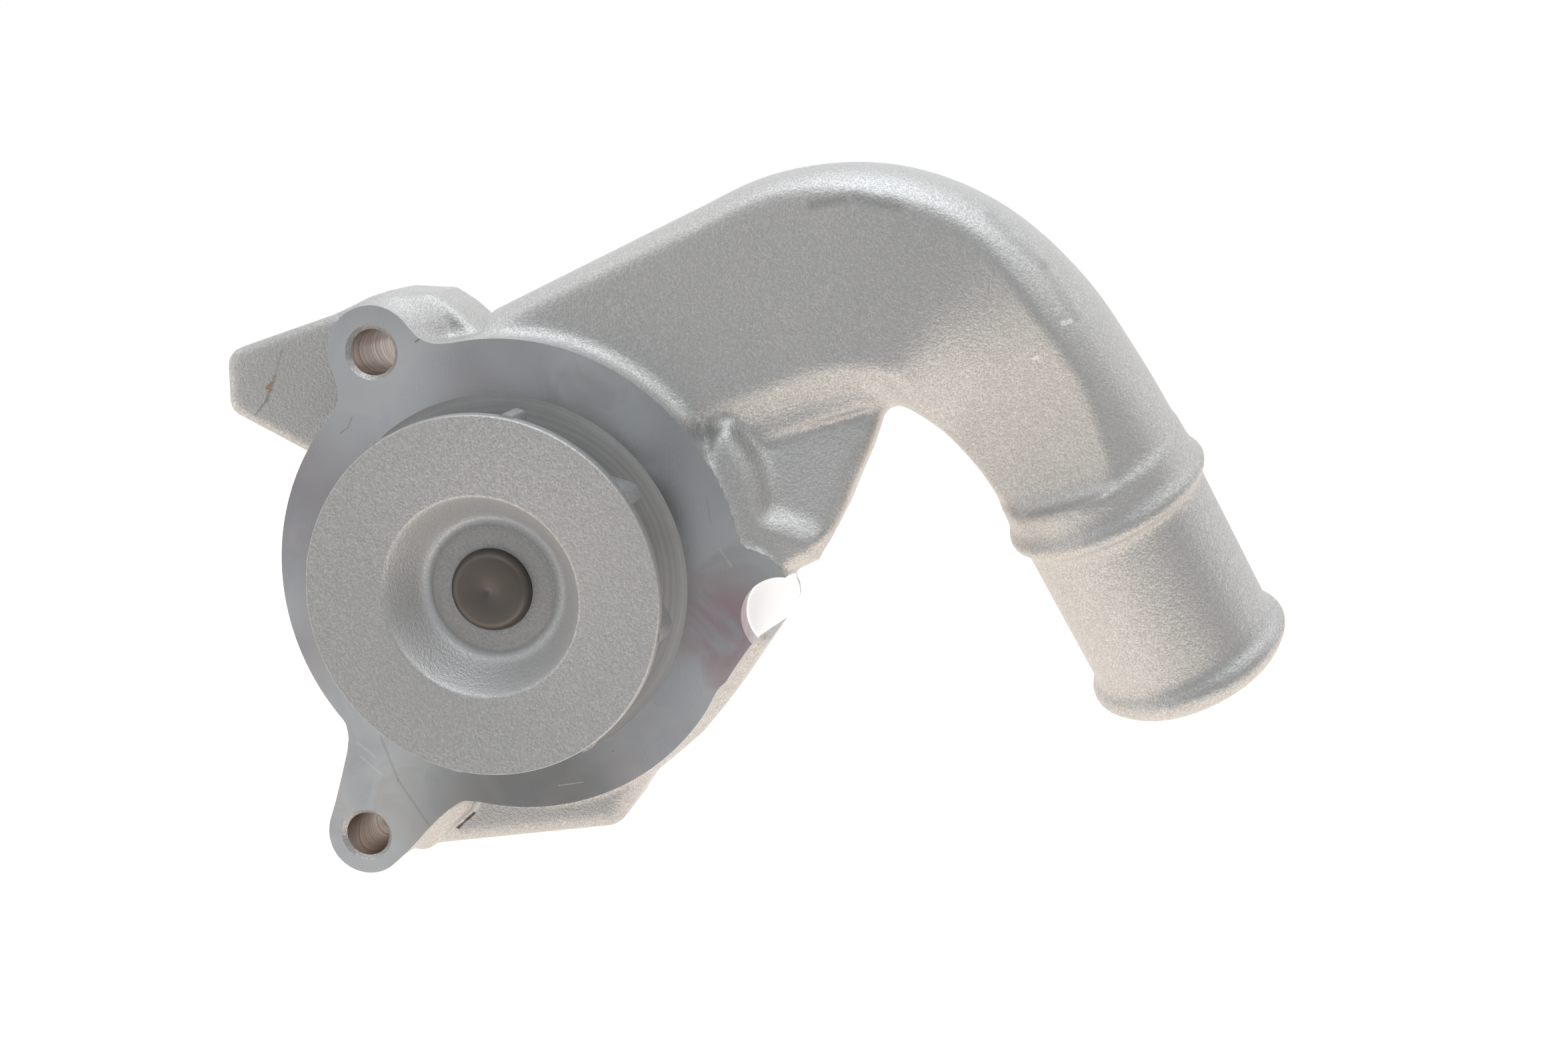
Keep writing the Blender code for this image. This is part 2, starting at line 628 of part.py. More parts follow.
def main():
    clear_scene()
    cast = material("cast_aluminium", (0.62, 0.61, 0.60), 0.55, 0.9)
    impeller_cast = material("impeller_casting", (0.56, 0.55, 0.53), 0.6, 0.85)
    bright = material("ground_steel", (0.45, 0.43, 0.41), 0.25, 1.0)
    ball_steel = material("ball_steel", (0.70, 0.70, 0.72), 0.12, 1.0)
    sheet = material("pressed_steel", (0.55, 0.55, 0.56), 0.35, 1.0)
    hub_steel = material("hub_steel", (0.38, 0.38, 0.39), 0.45, 1.0)
    rubber = material("seal_rubber", (0.03, 0.03, 0.03), 0.8, 0.0)
    nylon = material("cage_nylon", (0.62, 0.52, 0.36), 0.5, 0.0)
    carbon = material("seal_carbon", (0.06, 0.06, 0.065), 0.4, 0.0)
    ceramic = material("seal_ceramic", (0.82, 0.80, 0.76), 0.3, 0.0)

    housing(cast)
    outer_ring(bright)
    lip_seal("bearing_lip_seal_front", RING_START + 1.0 * MM, rubber)
    lip_seal("bearing_lip_seal_rear", RING_START + RING_LENGTH - 2.8 * MM, rubber)
    face_seal(sheet, rubber, carbon, ceramic)

    rotor_axis = joint_empty("rotor_axis")
    turning = [shaft(bright), impeller(impeller_cast), drive_hub(hub_steel)]
    slinger = [(SHAFT_R + GAP, 35.2 * MM), (11.6 * MM, 35.2 * MM), (12.4 * MM, 36.0 * MM), (12.4 * MM, 36.6 * MM)]
    slinger += [(11.4 * MM, 36.2 * MM), (SHAFT_R + GAP, 36.2 * MM)]
    turning.append(lathe("water_slinger", slinger, sheet, SMALL_ROUND))
    turning += [bpy.data.objects["seat_ring"], bpy.data.objects["seat_boot"]]
    for piece in turning:
        piece.parent = rotor_axis

    for row, row_y in BALL_ROWS.items():
        cage_axis = joint_empty(f"cage_axis_{row}")
        cage(row, row_y, nylon).parent = cage_axis
        balls(row, row_y, ball_steel, cage_axis)


main()
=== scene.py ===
"""Looks of the engine water pump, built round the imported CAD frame.

The row frame has the shaft along Y, with the machined mounting face at y = 0 and -Y out of it.
Shapes are worked out in millimetres and turned into metres when their meshes are made.
The casting is a field of signed distances, so that its walls run into each other with fillets.
Its machined surfaces are then cut with sharp edges.
"""

import math

import bmesh
import bpy
import numpy as np
from mathutils import Matrix, Vector


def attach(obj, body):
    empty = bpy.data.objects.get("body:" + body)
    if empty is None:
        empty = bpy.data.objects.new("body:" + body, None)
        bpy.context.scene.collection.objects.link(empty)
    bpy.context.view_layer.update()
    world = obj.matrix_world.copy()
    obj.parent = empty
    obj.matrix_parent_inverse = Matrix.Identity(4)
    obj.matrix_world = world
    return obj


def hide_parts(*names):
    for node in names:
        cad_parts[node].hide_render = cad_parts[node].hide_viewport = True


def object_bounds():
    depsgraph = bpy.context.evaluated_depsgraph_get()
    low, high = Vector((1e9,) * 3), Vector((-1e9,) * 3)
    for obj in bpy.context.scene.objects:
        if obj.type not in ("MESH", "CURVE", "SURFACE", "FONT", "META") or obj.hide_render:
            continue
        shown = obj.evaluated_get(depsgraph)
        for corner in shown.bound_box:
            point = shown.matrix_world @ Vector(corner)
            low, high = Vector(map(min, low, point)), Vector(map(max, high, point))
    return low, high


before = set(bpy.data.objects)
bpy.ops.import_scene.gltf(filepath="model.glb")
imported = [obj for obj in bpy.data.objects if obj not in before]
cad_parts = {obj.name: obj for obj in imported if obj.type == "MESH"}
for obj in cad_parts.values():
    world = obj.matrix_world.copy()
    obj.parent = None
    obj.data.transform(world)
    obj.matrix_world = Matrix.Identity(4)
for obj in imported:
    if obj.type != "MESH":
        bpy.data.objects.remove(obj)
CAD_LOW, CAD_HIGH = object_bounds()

MM = 0.001

# ---- camera, light and floor

CAMERA_PLACE = (0.12212, -0.35464, 0.08622)
CAMERA_DOWN = 11.364  # degrees below level
CAMERA_TURN = 10.666  # degrees to the left of the shaft's direction
FLOOR_DROP = 0.40  # below the pump, where no shadow shows
FLOOR_HALF = 3.0
FLOOR_GLOW = (1.0, 0.91, 0.83)
CARD_LEFT, CARD_RIGHT = -0.60, 0.90
CARD_FRONT, CARD_REAR = -0.62, 0.05
CARD_LOW, CARD_HIGH = -0.42, 0.52
SOFTBOX_PLACE = (0.08, -0.02, 0.60)


def add_camera():
    data = bpy.data.cameras.new("camera")
    data.lens = 45.0
    data.sensor_width = 36.0
    data.clip_start = 0.01
    data.clip_end = 20.0
    camera = bpy.data.objects.new("camera", data)
    camera.location = CAMERA_PLACE
    camera.rotation_euler = (math.radians(90 - CAMERA_DOWN), 0.0, math.radians(CAMERA_TURN))
    bpy.context.scene.collection.objects.link(camera)
    bpy.context.scene.camera = camera


def add_softbox():
    """A weak cool light above the pump."""
    data = bpy.data.lights.new("top_softbox", "AREA")
    data.shape = "RECTANGLE"
    data.size, data.size_y = 0.6, 0.5
    data.energy = 1.0
    data.color = (0.85, 0.93, 1.0)
    light = bpy.data.objects.new("top_softbox", data)
    light.location = SOFTBOX_PLACE
    direction = Vector((0.05, 0, 0.02)) - Vector(SOFTBOX_PLACE)
    light.rotation_euler = direction.to_track_quat("-Z", "Y").to_euler()
    light.visible_camera = False
    bpy.context.scene.collection.objects.link(light)


def emitter(name, colour, strength, one_sided=False):
    made = bpy.data.materials.new(name)
    made.use_nodes = True
    tree = made.node_tree
    tree.nodes.clear()
    out = tree.nodes.new("ShaderNodeOutputMaterial")
    glow = tree.nodes.new("ShaderNodeEmission")
    glow.inputs["Color"].default_value = (*colour, 1)
    glow.inputs["Strength"].default_value = strength
    surface = glow.outputs[0]
    if one_sided:
        clear = tree.nodes.new("ShaderNodeBsdfTransparent")
        side = tree.nodes.new("ShaderNodeNewGeometry")
        mix = tree.nodes.new("ShaderNodeMixShader")
        tree.links.new(side.outputs["Backfacing"], mix.inputs[0])
        tree.links.new(surface, mix.inputs[1])
        tree.links.new(clear.outputs[0], mix.inputs[2])
        surface = mix.outputs[0]
    tree.links.new(surface, out.inputs["Surface"])
    return made


def plane(name, corners, finish):
    mesh = bpy.data.meshes.new(name)
    mesh.from_pydata(corners, [], [(0, 1, 2, 3)])
    mesh.materials.append(finish)
    obj = bpy.data.objects.new(name, mesh)
    bpy.context.scene.collection.objects.link(obj)
    return obj


def add_studio():
    """A glowing white floor, a white room, and two dim cards that the metal reflects."""
    scene = bpy.context.scene
    view = scene.view_settings
    view.view_transform, view.look, view.exposure = "Standard", "None", 0.0
    world = bpy.data.worlds.new("studio")
    world.use_nodes = True
    background = world.node_tree.nodes["Background"]
    background.inputs["Color"].default_value = (1.0, 1.0, 1.0, 1.0)
    background.inputs["Strength"].default_value = 1.0
    scene.world = world

    half, ground = FLOOR_HALF, CAD_LOW.z - FLOOR_DROP
    corners = [(-half, -half, ground), (half, -half, ground), (half, half, ground), (-half, half, ground)]
    plane("floor", corners, emitter("floor_white", FLOOR_GLOW, 1.34, one_sided=True))

    near_low = (CARD_RIGHT, CARD_FRONT, CARD_LOW)
    near_high = (CARD_RIGHT, CARD_FRONT, CARD_HIGH)
    far_low, far_high = (CARD_LEFT, CARD_FRONT, CARD_LOW - 0.02), (CARD_LEFT, CARD_FRONT, CARD_HIGH)
    corners = [far_low, near_low, near_high, far_high]
    front_card = plane("camera_side_card", corners, card_material())
    back_low, back_high = (CARD_RIGHT, CARD_REAR, CARD_LOW), (CARD_RIGHT, CARD_REAR, CARD_HIGH - 0.16)
    corners = [near_low, back_low, back_high, near_high]
    right_card = plane("right_card", corners, emitter("right_grey", (0.95, 0.97, 1.0), 0.32))
    for card in (front_card, right_card):
        card.visible_camera = False
        card.visible_shadow = False


def card_material():
    """The dim side of the room, darkest behind the camera."""
    n = Nodes("card_grey")
    x, y, z = n.split()
    far = n.hypot(n.minus(x, 0.12), n.minus(z, 0.09))
    strength = n.ramp(far, 0.15, 0.50, 0.30, 0.50)
    glow = n.new("ShaderNodeEmission")
    glow.inputs["Color"].default_value = (0.91, 0.96, 1.0, 1.0)
    n.link(strength, glow.inputs["Strength"])
    n.link(glow.outputs[0], n.tree.nodes["Material Output"].inputs["Surface"])
    n.tree.nodes.remove(n.shader)
    return n.material


# ---- material nodes


class Nodes:
    """Short ways to add nodes to one material."""

    def __init__(self, name):
        self.material = bpy.data.materials.new(name)
        self.material.use_nodes = True
        self.tree = self.material.node_tree
        self.shader = self.tree.nodes["Principled BSDF"]
        self.place = self.new("ShaderNodeTexCoord").outputs["Object"]

    def new(self, kind, **settings):
        node = self.tree.nodes.new(kind)
        for key, value in settings.items():
            setattr(node, key, value)
        return node

    def link(self, source, target):
        """Feeds a socket from another one, or gives it a value."""
        if isinstance(source, bpy.types.NodeSocket):
            self.tree.links.new(source, target)
        else:
            target.default_value = source

    def noise(self, scale, detail=2.0, roughness=0.5, place=None, distortion=0.0):
        node = self.new("ShaderNodeTexNoise")
        self.link(place or self.place, node.inputs["Vector"])
        values = {"Scale": scale, "Detail": detail, "Roughness": roughness, "Distortion": distortion}
        for name, value in values.items():
            node.inputs[name].default_value = value
        return node.outputs["Fac"]

    def cells(self, scale):
        """Distance from the nearest point of a scatter."""
        node = self.new("ShaderNodeTexVoronoi")
        self.link(self.place, node.inputs["Vector"])
        node.inputs["Scale"].default_value = scale
        return node.outputs["Distance"]

    def math(self, operation, *values):
        node = self.new("ShaderNodeMath", operation=operation)
        for socket, value in zip(node.inputs, values):
            self.link(value, socket)
        return node.outputs[0]

    def plus(self, a, b):
        return self.math("ADD", a, b)

    def minus(self, a, b):
        return self.math("SUBTRACT", a, b)

    def times(self, a, b):
        return self.math("MULTIPLY", a, b)

    def hypot(self, a, b):
        return self.math("SQRT", self.plus(self.times(a, a), self.times(b, b)))

    def ramp(self, value, low, high, to_low=0.0, to_high=1.0, smooth=True):
        """Goes from to_low to to_high while the value goes from low to high."""
        node = self.new("ShaderNodeMapRange", interpolation_type="SMOOTHSTEP" if smooth else "LINEAR")
        for socket, item in zip(node.inputs, (value, low, high, to_low, to_high)):
            self.link(item, socket)
        return node.outputs[0]

    def mix(self, share, a, b):
        """Colour a with a share of colour b."""
        node = self.new("ShaderNodeMix", data_type="RGBA")
        sockets = [s for s in node.inputs if s.enabled]
        self.link(share, sockets[0])
        for socket, value in zip(sockets[1:], (a, b)):
            self.link(value if isinstance(value, bpy.types.NodeSocket) else (*value, 1.0), socket)
        return [s for s in node.outputs if s.enabled][0]

    def split(self):
        node = self.new("ShaderNodeSeparateXYZ")
        self.link(self.place, node.inputs[0])
        return node.outputs

    def join(self, x, y, z):
        node = self.new("ShaderNodeCombineXYZ")
        for socket, value in zip(node.inputs, (x, y, z)):
            self.link(value, socket)
        return node.outputs[0]

    def radius(self, centre=(0.0, 0.0)):
        """Distance from an axis along Y through an (x, z) point in millimetres."""
        x, y, z = self.split()
        return self.hypot(self.minus(x, centre[0] * MM), self.minus(z, centre[1] * MM))

    def segment(self, start, end):
        """Distance from the line between two (x, z) points in millimetres."""
        x, y, z = self.split()
        run = ((end[0] - start[0]) * MM, (end[1] - start[1]) * MM)
        dx = self.minus(x, start[0] * MM)
        dz = self.minus(z, start[1] * MM)
        dot = self.plus(self.times(dx, run[0]), self.times(dz, run[1]))
        t = self.ramp(dot, 0.0, run[0] ** 2 + run[1] ** 2, smooth=False)
        dx = self.minus(dx, self.times(t, run[0]))
        dz = self.minus(dz, self.times(t, run[1]))
        return self.hypot(dx, dz)

    def scuffs_and_shade(self, base, marks, smudge):
        """Ragged marks on the front, some of them painted shade: (start, end, width, colour, share) each."""
        front = self.ramp(self.split()[1], 0.014, 0.016, 1.0, 0.0)
        for start, end, width, colour, share in marks:
            ragged = self.times(self.minus(smudge, 0.5), width * MM)
            far = self.plus(self.segment(start, end), ragged)
            strength = self.ramp(far, 0.2 * width * MM, width * MM, share, 0.0)
            base = self.mix(self.times(front, strength), base, colour)
        return base

    def bump(self, height, strength, distance, normal=None):
        node = self.new("ShaderNodeBump")
        node.inputs["Strength"].default_value = strength
        node.inputs["Distance"].default_value = distance * MM
        self.link(height, node.inputs["Height"])
        if normal is not None:
            self.link(normal, node.inputs["Normal"])
        return node.outputs[0]

    def finish(self, colour, metallic, roughness, normal):
        names = ("Base Color", "Metallic", "Roughness", "Normal")
        for name, value in zip(names, (colour, metallic, roughness, normal)):
            self.link(value, self.shader.inputs[name])
        return self.material


DARK, RUST, BRIGHT = (0.30, 0.295, 0.29), (0.42, 0.22, 0.07), (0.95, 0.95, 0.95)
# the third colour on the next line is a painted shadow, near black
PALE, BLACK, PAINTED_SHADOW = (0.85, 0.85, 0.86), (0.10, 0.10, 0.105), (0.05, 0.045, 0.04)

# (start, end, width, colour, share) of each mark or patch of painted shade, its ends as (x, z) in
# millimetres.
CASTING_MARKS_AND_SHADE = [
    # the arm and lower block behind the flange, darkened as painted shade
    ((-45.0, 37.0), (-44.0, 37.0), 22.0, DARK, 0.30),
    ((-4.0, -52.0), (16.0, -50.0), 20.0, DARK, 0.18),
    # the bent scuff on the arm, with its rust
    ((-48.4, 43.0), (-50.2, 37.6), 0.35, DARK, 0.45),
    ((-50.2, 37.6), (-52.2, 32.8), 0.45, DARK, 0.7),
    ((-52.2, 32.8), (-55.0, 29.6), 0.4, DARK, 0.6),
    ((-52.0, 35.2), (-50.9, 36.4), 0.5, RUST, 0.8),
    ((-51.6, 34.6), (-51.0, 34.8), 0.4, RUST, 0.6),
    # darker streaks along the duct's top and outer edge, and two bright nicks on it
    ((60.0, 72.4), (66.0, 73.8), 1.5, DARK, 0.45),
    ((68.0, 74.0), (76.0, 72.6), 1.7, DARK, 0.45),
    ((92.0, 70.8), (102.0, 61.8), 1.3, DARK, 0.3),
    ((102.0, 61.8), (108.5, 52.5), 1.3, DARK, 0.25),
    ((106.0, 51.6), (107.4, 52.0), 0.6, BRIGHT, 0.7),
    ((100.9, 45.0), (101.6, 45.4), 0.5, BRIGHT, 0.6),
    # the short slot beside the lower lug, drawn as a painted shadow line
    ((-9.8, -50.1), (-13.4, -53.5), 0.45, PAINTED_SHADOW, 0.9),
]
FACE_MARKS = [
    # below the upper lug
    ((-32.6, 28.1), (-30.9, 29.3), 0.14, BLACK, 0.5),
    ((-30.9, 29.3), (-29.9, 31.4), 0.14, BLACK, 0.5),
    # above the lower lug
    ((-31.8, -34.6), (-28.2, -37.4), 0.35, PALE, 0.5),
    ((-31.4, -37.4), (-27.0, -41.0), 0.25, PALE, 0.4),
    ((-26.8, -33.0), (-23.5, -41.9), 0.4, BLACK, 0.22),
    ((-23.5, -41.9), (-17.2, -51.2), 0.4, BLACK, 0.22),
    # at the right, the top and the bottom
    ((43.0, 8.0), (45.2, 4.8), 0.3, PALE, 0.3),
    ((40.5, 18.0), (41.2, 13.0), 0.15, BLACK, 0.2),
    ((-16.4, 46.2), (-15.6, 46.8), 0.3, BLACK, 0.5),
    ((10.0, -41.0), (15.0, -40.0), 0.2, PALE, 0.3),
]
# (inner radius, outer radius, soft edge, colour, share): painted light on the dish, and painted shade on the
# boss sunk inside it.
IMPELLER_LIGHT_AND_SHADE = [(12.7, 19.3, 0.5, (0.80, 0.81, 0.82), 0.5), (0.5, 12.2, 0.3, (0.34, 0.335, 0.33), 0.6)]


def shade(tone, share):
    return tuple(min(1.0, v * share) for v in tone)


def cast_material(name, tone, grain=1.0, roughness=0.5, marks=(), bands=()):
    """Shot-blasted aluminium: a fine pebbled grain with bright facets, and faint stains. Its marks can paint
    shade, and its bands paint light and shade.
    """
    n = Nodes(name)
    fine = n.noise(3000, 2.0, 0.65)
    pebble = n.noise(1500, 1.5, 0.55)
    cloud = n.noise(60, 3.0, 0.55)
    blotch = n.noise(17, 2.0, 0.5)
    smudge = n.noise(700, 2.0, 0.6)
    base = n.mix(n.ramp(fine, 0.32, 0.68), shade(tone, 0.76), shade(tone, 1.18))
    base = n.mix(n.ramp(pebble, 0.38, 0.64, 0.0, 0.5), base, shade(tone, 0.80))
    base = n.mix(n.ramp(cloud, 0.45, 0.75, 0.0, 0.25), base, shade(tone, 0.88))
    warm = (tone[0] * 1.02, tone[1] * 0.98, tone[2] * 0.93)
    base = n.mix(n.ramp(blotch, 0.42, 0.70, 0.0, 0.22), base, warm)
    base = n.mix(n.ramp(n.cells(95), 0.0, 0.03, 0.35, 0.0), base, (0.16, 0.145, 0.13))
    # bands of painted light and shade about the axis
    for start, end, soft, colour, share in bands:
        far = n.radius()
        inside = n.ramp(far, (start - soft) * MM, start * MM)
        outside = n.ramp(far, (end - soft) * MM, end * MM, share, 0.0)
        base = n.mix(n.times(inside, outside), base, colour)
    base = n.scuffs_and_shade(base, marks, smudge)
    rough = n.ramp(fine, 0.3, 0.7, roughness + 0.07, roughness - 0.09)
    height = n.plus(pebble, n.times(fine, 0.5))
    normal = n.bump(height, 0.6, 0.17 * grain)
    return n.finish(base, 0.92, rough, normal)


def machined_face_material():
    """The fly-cut mounting face: cool, smooth, with faint crossing arcs, scratches and stains, plus painted
    shade, light and reflections.
    """
    n = Nodes("machined_face")
    x, y, z = n.split()
    arcs = []
    for centre_x, centre_z, pitch in ((0.145, 0.02, 0.00085), (-0.13, -0.045, 0.00097)):
        far = n.hypot(n.minus(x, centre_x), n.minus(z, centre_z))
        wobble = n.times(n.noise(45, 2.0), 0.0006)
        arcs.append(n.math("SINE", n.times(n.plus(far, wobble), math.tau / pitch)))
    lines = n.plus(arcs[0], n.times(arcs[1], 0.6))
    cloud = n.noise(22, 2.0, 0.5)
    smear = n.noise(70, 3.0, 0.6, distortion=0.8)
    base = n.mix(n.ramp(cloud, 0.36, 0.64), (0.42, 0.425, 0.44), (0.66, 0.67, 0.68))
    base = n.mix(n.ramp(smear, 0.52, 0.72, 0.0, 0.35), base, (0.36, 0.355, 0.35))
    base = n.mix(n.ramp(lines, 0.2, 1.6, 0.0, 0.07), base, (0.74, 0.75, 0.77))
    # painted shade: the face darkened towards the bottom, by the lower block
    stain_and_shade = n.ramp(n.radius((4.0, -50.0)), 0.010, 0.034, 0.92, 0.0)
    base = n.mix(stain_and_shade, base, (0.30, 0.295, 0.29))
    # painted reflection: pinkish patches
    warm = n.noise(31, 2.0, 0.5, place=n.join(x, z, 0.37))
    base = n.mix(n.ramp(warm, 0.54, 0.70, 0.0, 0.3), base, (0.50, 0.41, 0.42))
    hatch = n.math("SINE", n.times(n.minus(x, z), math.tau / 0.0006))
    patch = n.ramp(n.noise(38, 1.0, 0.5), 0.52, 0.64)
    base = n.mix(n.times(patch, n.ramp(hatch, 0.0, 1.0, 0.0, 0.13)), base, (0.22, 0.22, 0.23))
    # painted light: the face lightened round the upper lug
    light = n.ramp(n.radius((-27.0, 36.0)), 0.004, 0.026, 0.55, 0.0)
    base = n.mix(light, base, (0.80, 0.80, 0.80))
    # painted reflection: a red patch near the notch
    red = n.ramp(n.radius((43.5, -8.0)), 0.003, 0.016, 0.6, 0.0)
    base = n.mix(n.times(red, n.ramp(smear, 0.35, 0.6)), base, (0.42, 0.22, 0.26))
    base = n.scuffs_and_shade(base, FACE_MARKS, n.noise(900, 2.0, 0.6))
    base = n.mix(n.ramp(n.cells(170), 0.0, 0.04, 0.7, 0.0), base, (0.12, 0.12, 0.13))
    rough = n.ramp(smear, 0.35, 0.7, 0.27, 0.40)
    normal = n.bump(lines, 0.06, 0.02)
    normal = n.bump(smear, 0.10, 0.08, normal)
    return n.finish(base, 0.96, rough, normal)


def turned_material(name, tone, pitch, roughness, stain_and_shade, centre=(0.0, 0.0), contrast=1.0, metallic=0.95):
    """Turned metal: rings about an axis along Y, at a pitch in millimetres."""
    n = Nodes(name)
    x, y, z = n.split()
    far = n.radius(centre)
    wobble = n.times(n.noise(30, 1.0), 0.00025)
    along = n.plus(n.plus(far, n.times(y, 0.83)), wobble)
    wave = n.math("SINE", n.times(along, math.tau / (pitch * MM)))
    rings = n.noise(1.0, 3.0, 0.6, place=n.join(n.times(along, 500 / pitch), 0.0, 0.0))
    cloud = n.noise(70, 3.0, 0.6)
    low, high = shade(tone, 1 - 0.25 * contrast), shade(tone, 1 + 0.16 * contrast)
    base = n.mix(n.ramp(rings, 0.3, 0.7), low, high)
    base = n.mix(n.ramp(wave, -1.0, 1.0, 0.0, 0.25 * contrast), base, shade(tone, 1.3))
    stained = (tone[0] * 0.66, tone[1] * 0.61, tone[2] * 0.56)
    base = n.mix(n.ramp(cloud, 0.42, 0.72, 0.0, stain_and_shade), base, stained)
    rough = n.ramp(rings, 0.3, 0.7, roughness + 0.08, roughness - 0.06)
    normal = n.bump(n.plus(n.times(wave, 0.5), rings), 0.22 * contrast, 0.025)
    return n.finish(base, metallic, rough, normal)


def plain_material(name, tone, roughness, metallic, grain_scale, grain, variation):
    """A finish with its own fine grain and a cloudy change of tone."""
    n = Nodes(name)
    fine = n.noise(grain_scale, 2.0, 0.6)
    cloud = n.noise(120, 2.0, 0.5)
    low, high = shade(tone, 1 - variation), shade(tone, 1 + variation)
    base = n.mix(n.ramp(fine, 0.3, 0.7), low, high)
    base = n.mix(n.ramp(cloud, 0.45, 0.75, 0.0, 0.4), base, low)
    rough = n.ramp(cloud, 0.3, 0.7, roughness + 0.06, max(0.05, roughness - 0.06))
    normal = n.bump(fine, grain, 0.05)
    return n.finish(base, metallic, rough, normal)


def milled_material():
    """The notch's milled floor, with a small painted glow of its own, though it is no lamp, that brings it
    close to white.
    """
    centre = (NOTCH[0] + 9, NOTCH[1] + 14)
    made = turned_material("milled_notch", (1.0, 1.0, 1.0), 1.1, 0.5, 0.03, centre, 0.2, 0.0)
    sockets = made.node_tree.nodes["Principled BSDF"].inputs
    # painted light: the floor glows
    sockets["Emission Color"].default_value = (1.0, 1.0, 1.0, 1.0)
    sockets["Emission Strength"].default_value = 0.42
    return made


# ---- meshes


def mesh_object(name, verts, faces, finishes=()):
    """An object from points in millimetres."""
    mesh = bpy.data.meshes.new(name)
    mesh.from_pydata((np.asarray(verts, float) * MM).tolist(), [], [tuple(face) for face in faces])
    mesh.validate()
    for finish in finishes:
        mesh.materials.append(finish)
    obj = bpy.data.objects.new(name, mesh)
    bpy.context.scene.collection.objects.link(obj)
    return obj


def lathe(name, profile, steps=128, finishes=()):
    """Turns (radius, y) points in millimetres about Y. A closed loop unless it starts on the axis."""
    verts, rings = [], []
    for radius, y in profile:
        count = steps if radius > 0 else 1
        rings.append(list(range(len(verts), len(verts) + count)))
        for i in range(count):
            angle = math.tau * i / steps
            verts.append((radius * math.cos(angle), y, radius * math.sin(angle)))
    pairs = list(zip(rings, rings[1:]))
    if profile[0][0] > 0:
        pairs.append((rings[-1], rings[0]))
    faces = []
    for near, far in pairs:
        for i in range(steps):
            j = (i + 1) % steps
            corners = [near[i % len(near)], near[j % len(near)], far[j % len(far)], far[i % len(far)]]
            face = list(dict.fromkeys(corners))
            if len(face) > 2:
                faces.append(face)
    obj = mesh_object(name, verts, faces, finishes)
    face_out(obj)
    return obj


def face_out(obj):
    bm = bmesh.new()
    bm.from_mesh(obj.data)
    bmesh.ops.recalc_face_normals(bm, faces=bm.faces)
    bm.to_mesh(obj.data)
    bm.free()


def soften(obj, degrees=35):
    obj.data.shade_smooth()
    obj.data.set_sharp_from_angle(angle=math.radians(degrees))


def cut(obj, cutters, operation="DIFFERENCE"):
    """Applies Booleans with helper objects and removes the helpers."""
    for cutter in cutters:
        modifier = obj.modifiers.new(cutter.name, "BOOLEAN")
        modifier.operation = operation
        modifier.solver = "MANIFOLD"
        modifier.object = cutter
    bpy.context.view_layer.update()
    evaluated = obj.evaluated_get(bpy.context.evaluated_depsgraph_get())
    mesh = bpy.data.meshes.new_from_object(evaluated)
    obj.modifiers.clear()
    obj.data = mesh
    for cutter in cutters:
        bpy.data.objects.remove(cutter)


def drill(name, centre, profile, steps=64):
    """A turned cutter about an axis along Y through (x, z)."""
    cutter = lathe(name, profile, steps)
    cutter.data.transform(Matrix.Translation((centre[0] * MM, 0, centre[1] * MM)))
    return cutter


# ---- signed distances, in millimetres


def outline_distance(points, a, b):
    """Signed distance from (a, b) to a closed outline, negative inside."""
    shape = np.broadcast(a, b).shape
    best = np.full(shape, 1e9, np.float32)
    inside = np.zeros(shape, bool)
    for (a0, b0), (a1, b1) in zip(points, points[1:] + points[:1]):
        da, db = a1 - a0, b1 - b0
        pa, pb = a - a0, b - b0
        t = np.clip((pa * da + pb * db) / (da * da + db * db + 1e-9), 0, 1)
        np.minimum(best, (pa - t * da) ** 2 + (pb - t * db) ** 2, out=best)
        if abs(db) > 1e-9:
            inside ^= ((b0 > b) != (b1 > b)) & (pa < pb * (da / db))
    return np.where(inside, -1, 1).astype(np.float32) * np.sqrt(best)


def slab(flat, y, low, high, rounding):
    """An outline's distance given thickness from low to high, with rounded edges."""
    across = flat + rounding
    along = np.abs(y - (low + high) / 2) - (high - low) / 2 + rounding
    outer = np.sqrt(np.maximum(across, 0) ** 2 + np.maximum(along, 0) ** 2)
    return np.minimum(np.maximum(across, along), 0) + outer - rounding


def join(a, b, fillet):
    """Union with a fillet of about that size."""
    h = np.clip(0.5 + 0.5 * (b - a) / fillet, 0, 1)
    return b + (a - b) * h - fillet * h * (1 - h)


def carve(a, b, fillet):
    """a with b taken out, and the edge rounded."""
    return -join(-a, b, fillet)


def arc(centre, radius, start, end, count):
    angles = np.radians(np.linspace(start, end, count + 1))
    return [(centre[0] + radius * math.cos(t), centre[1] + radius * math.sin(t)) for t in angles]


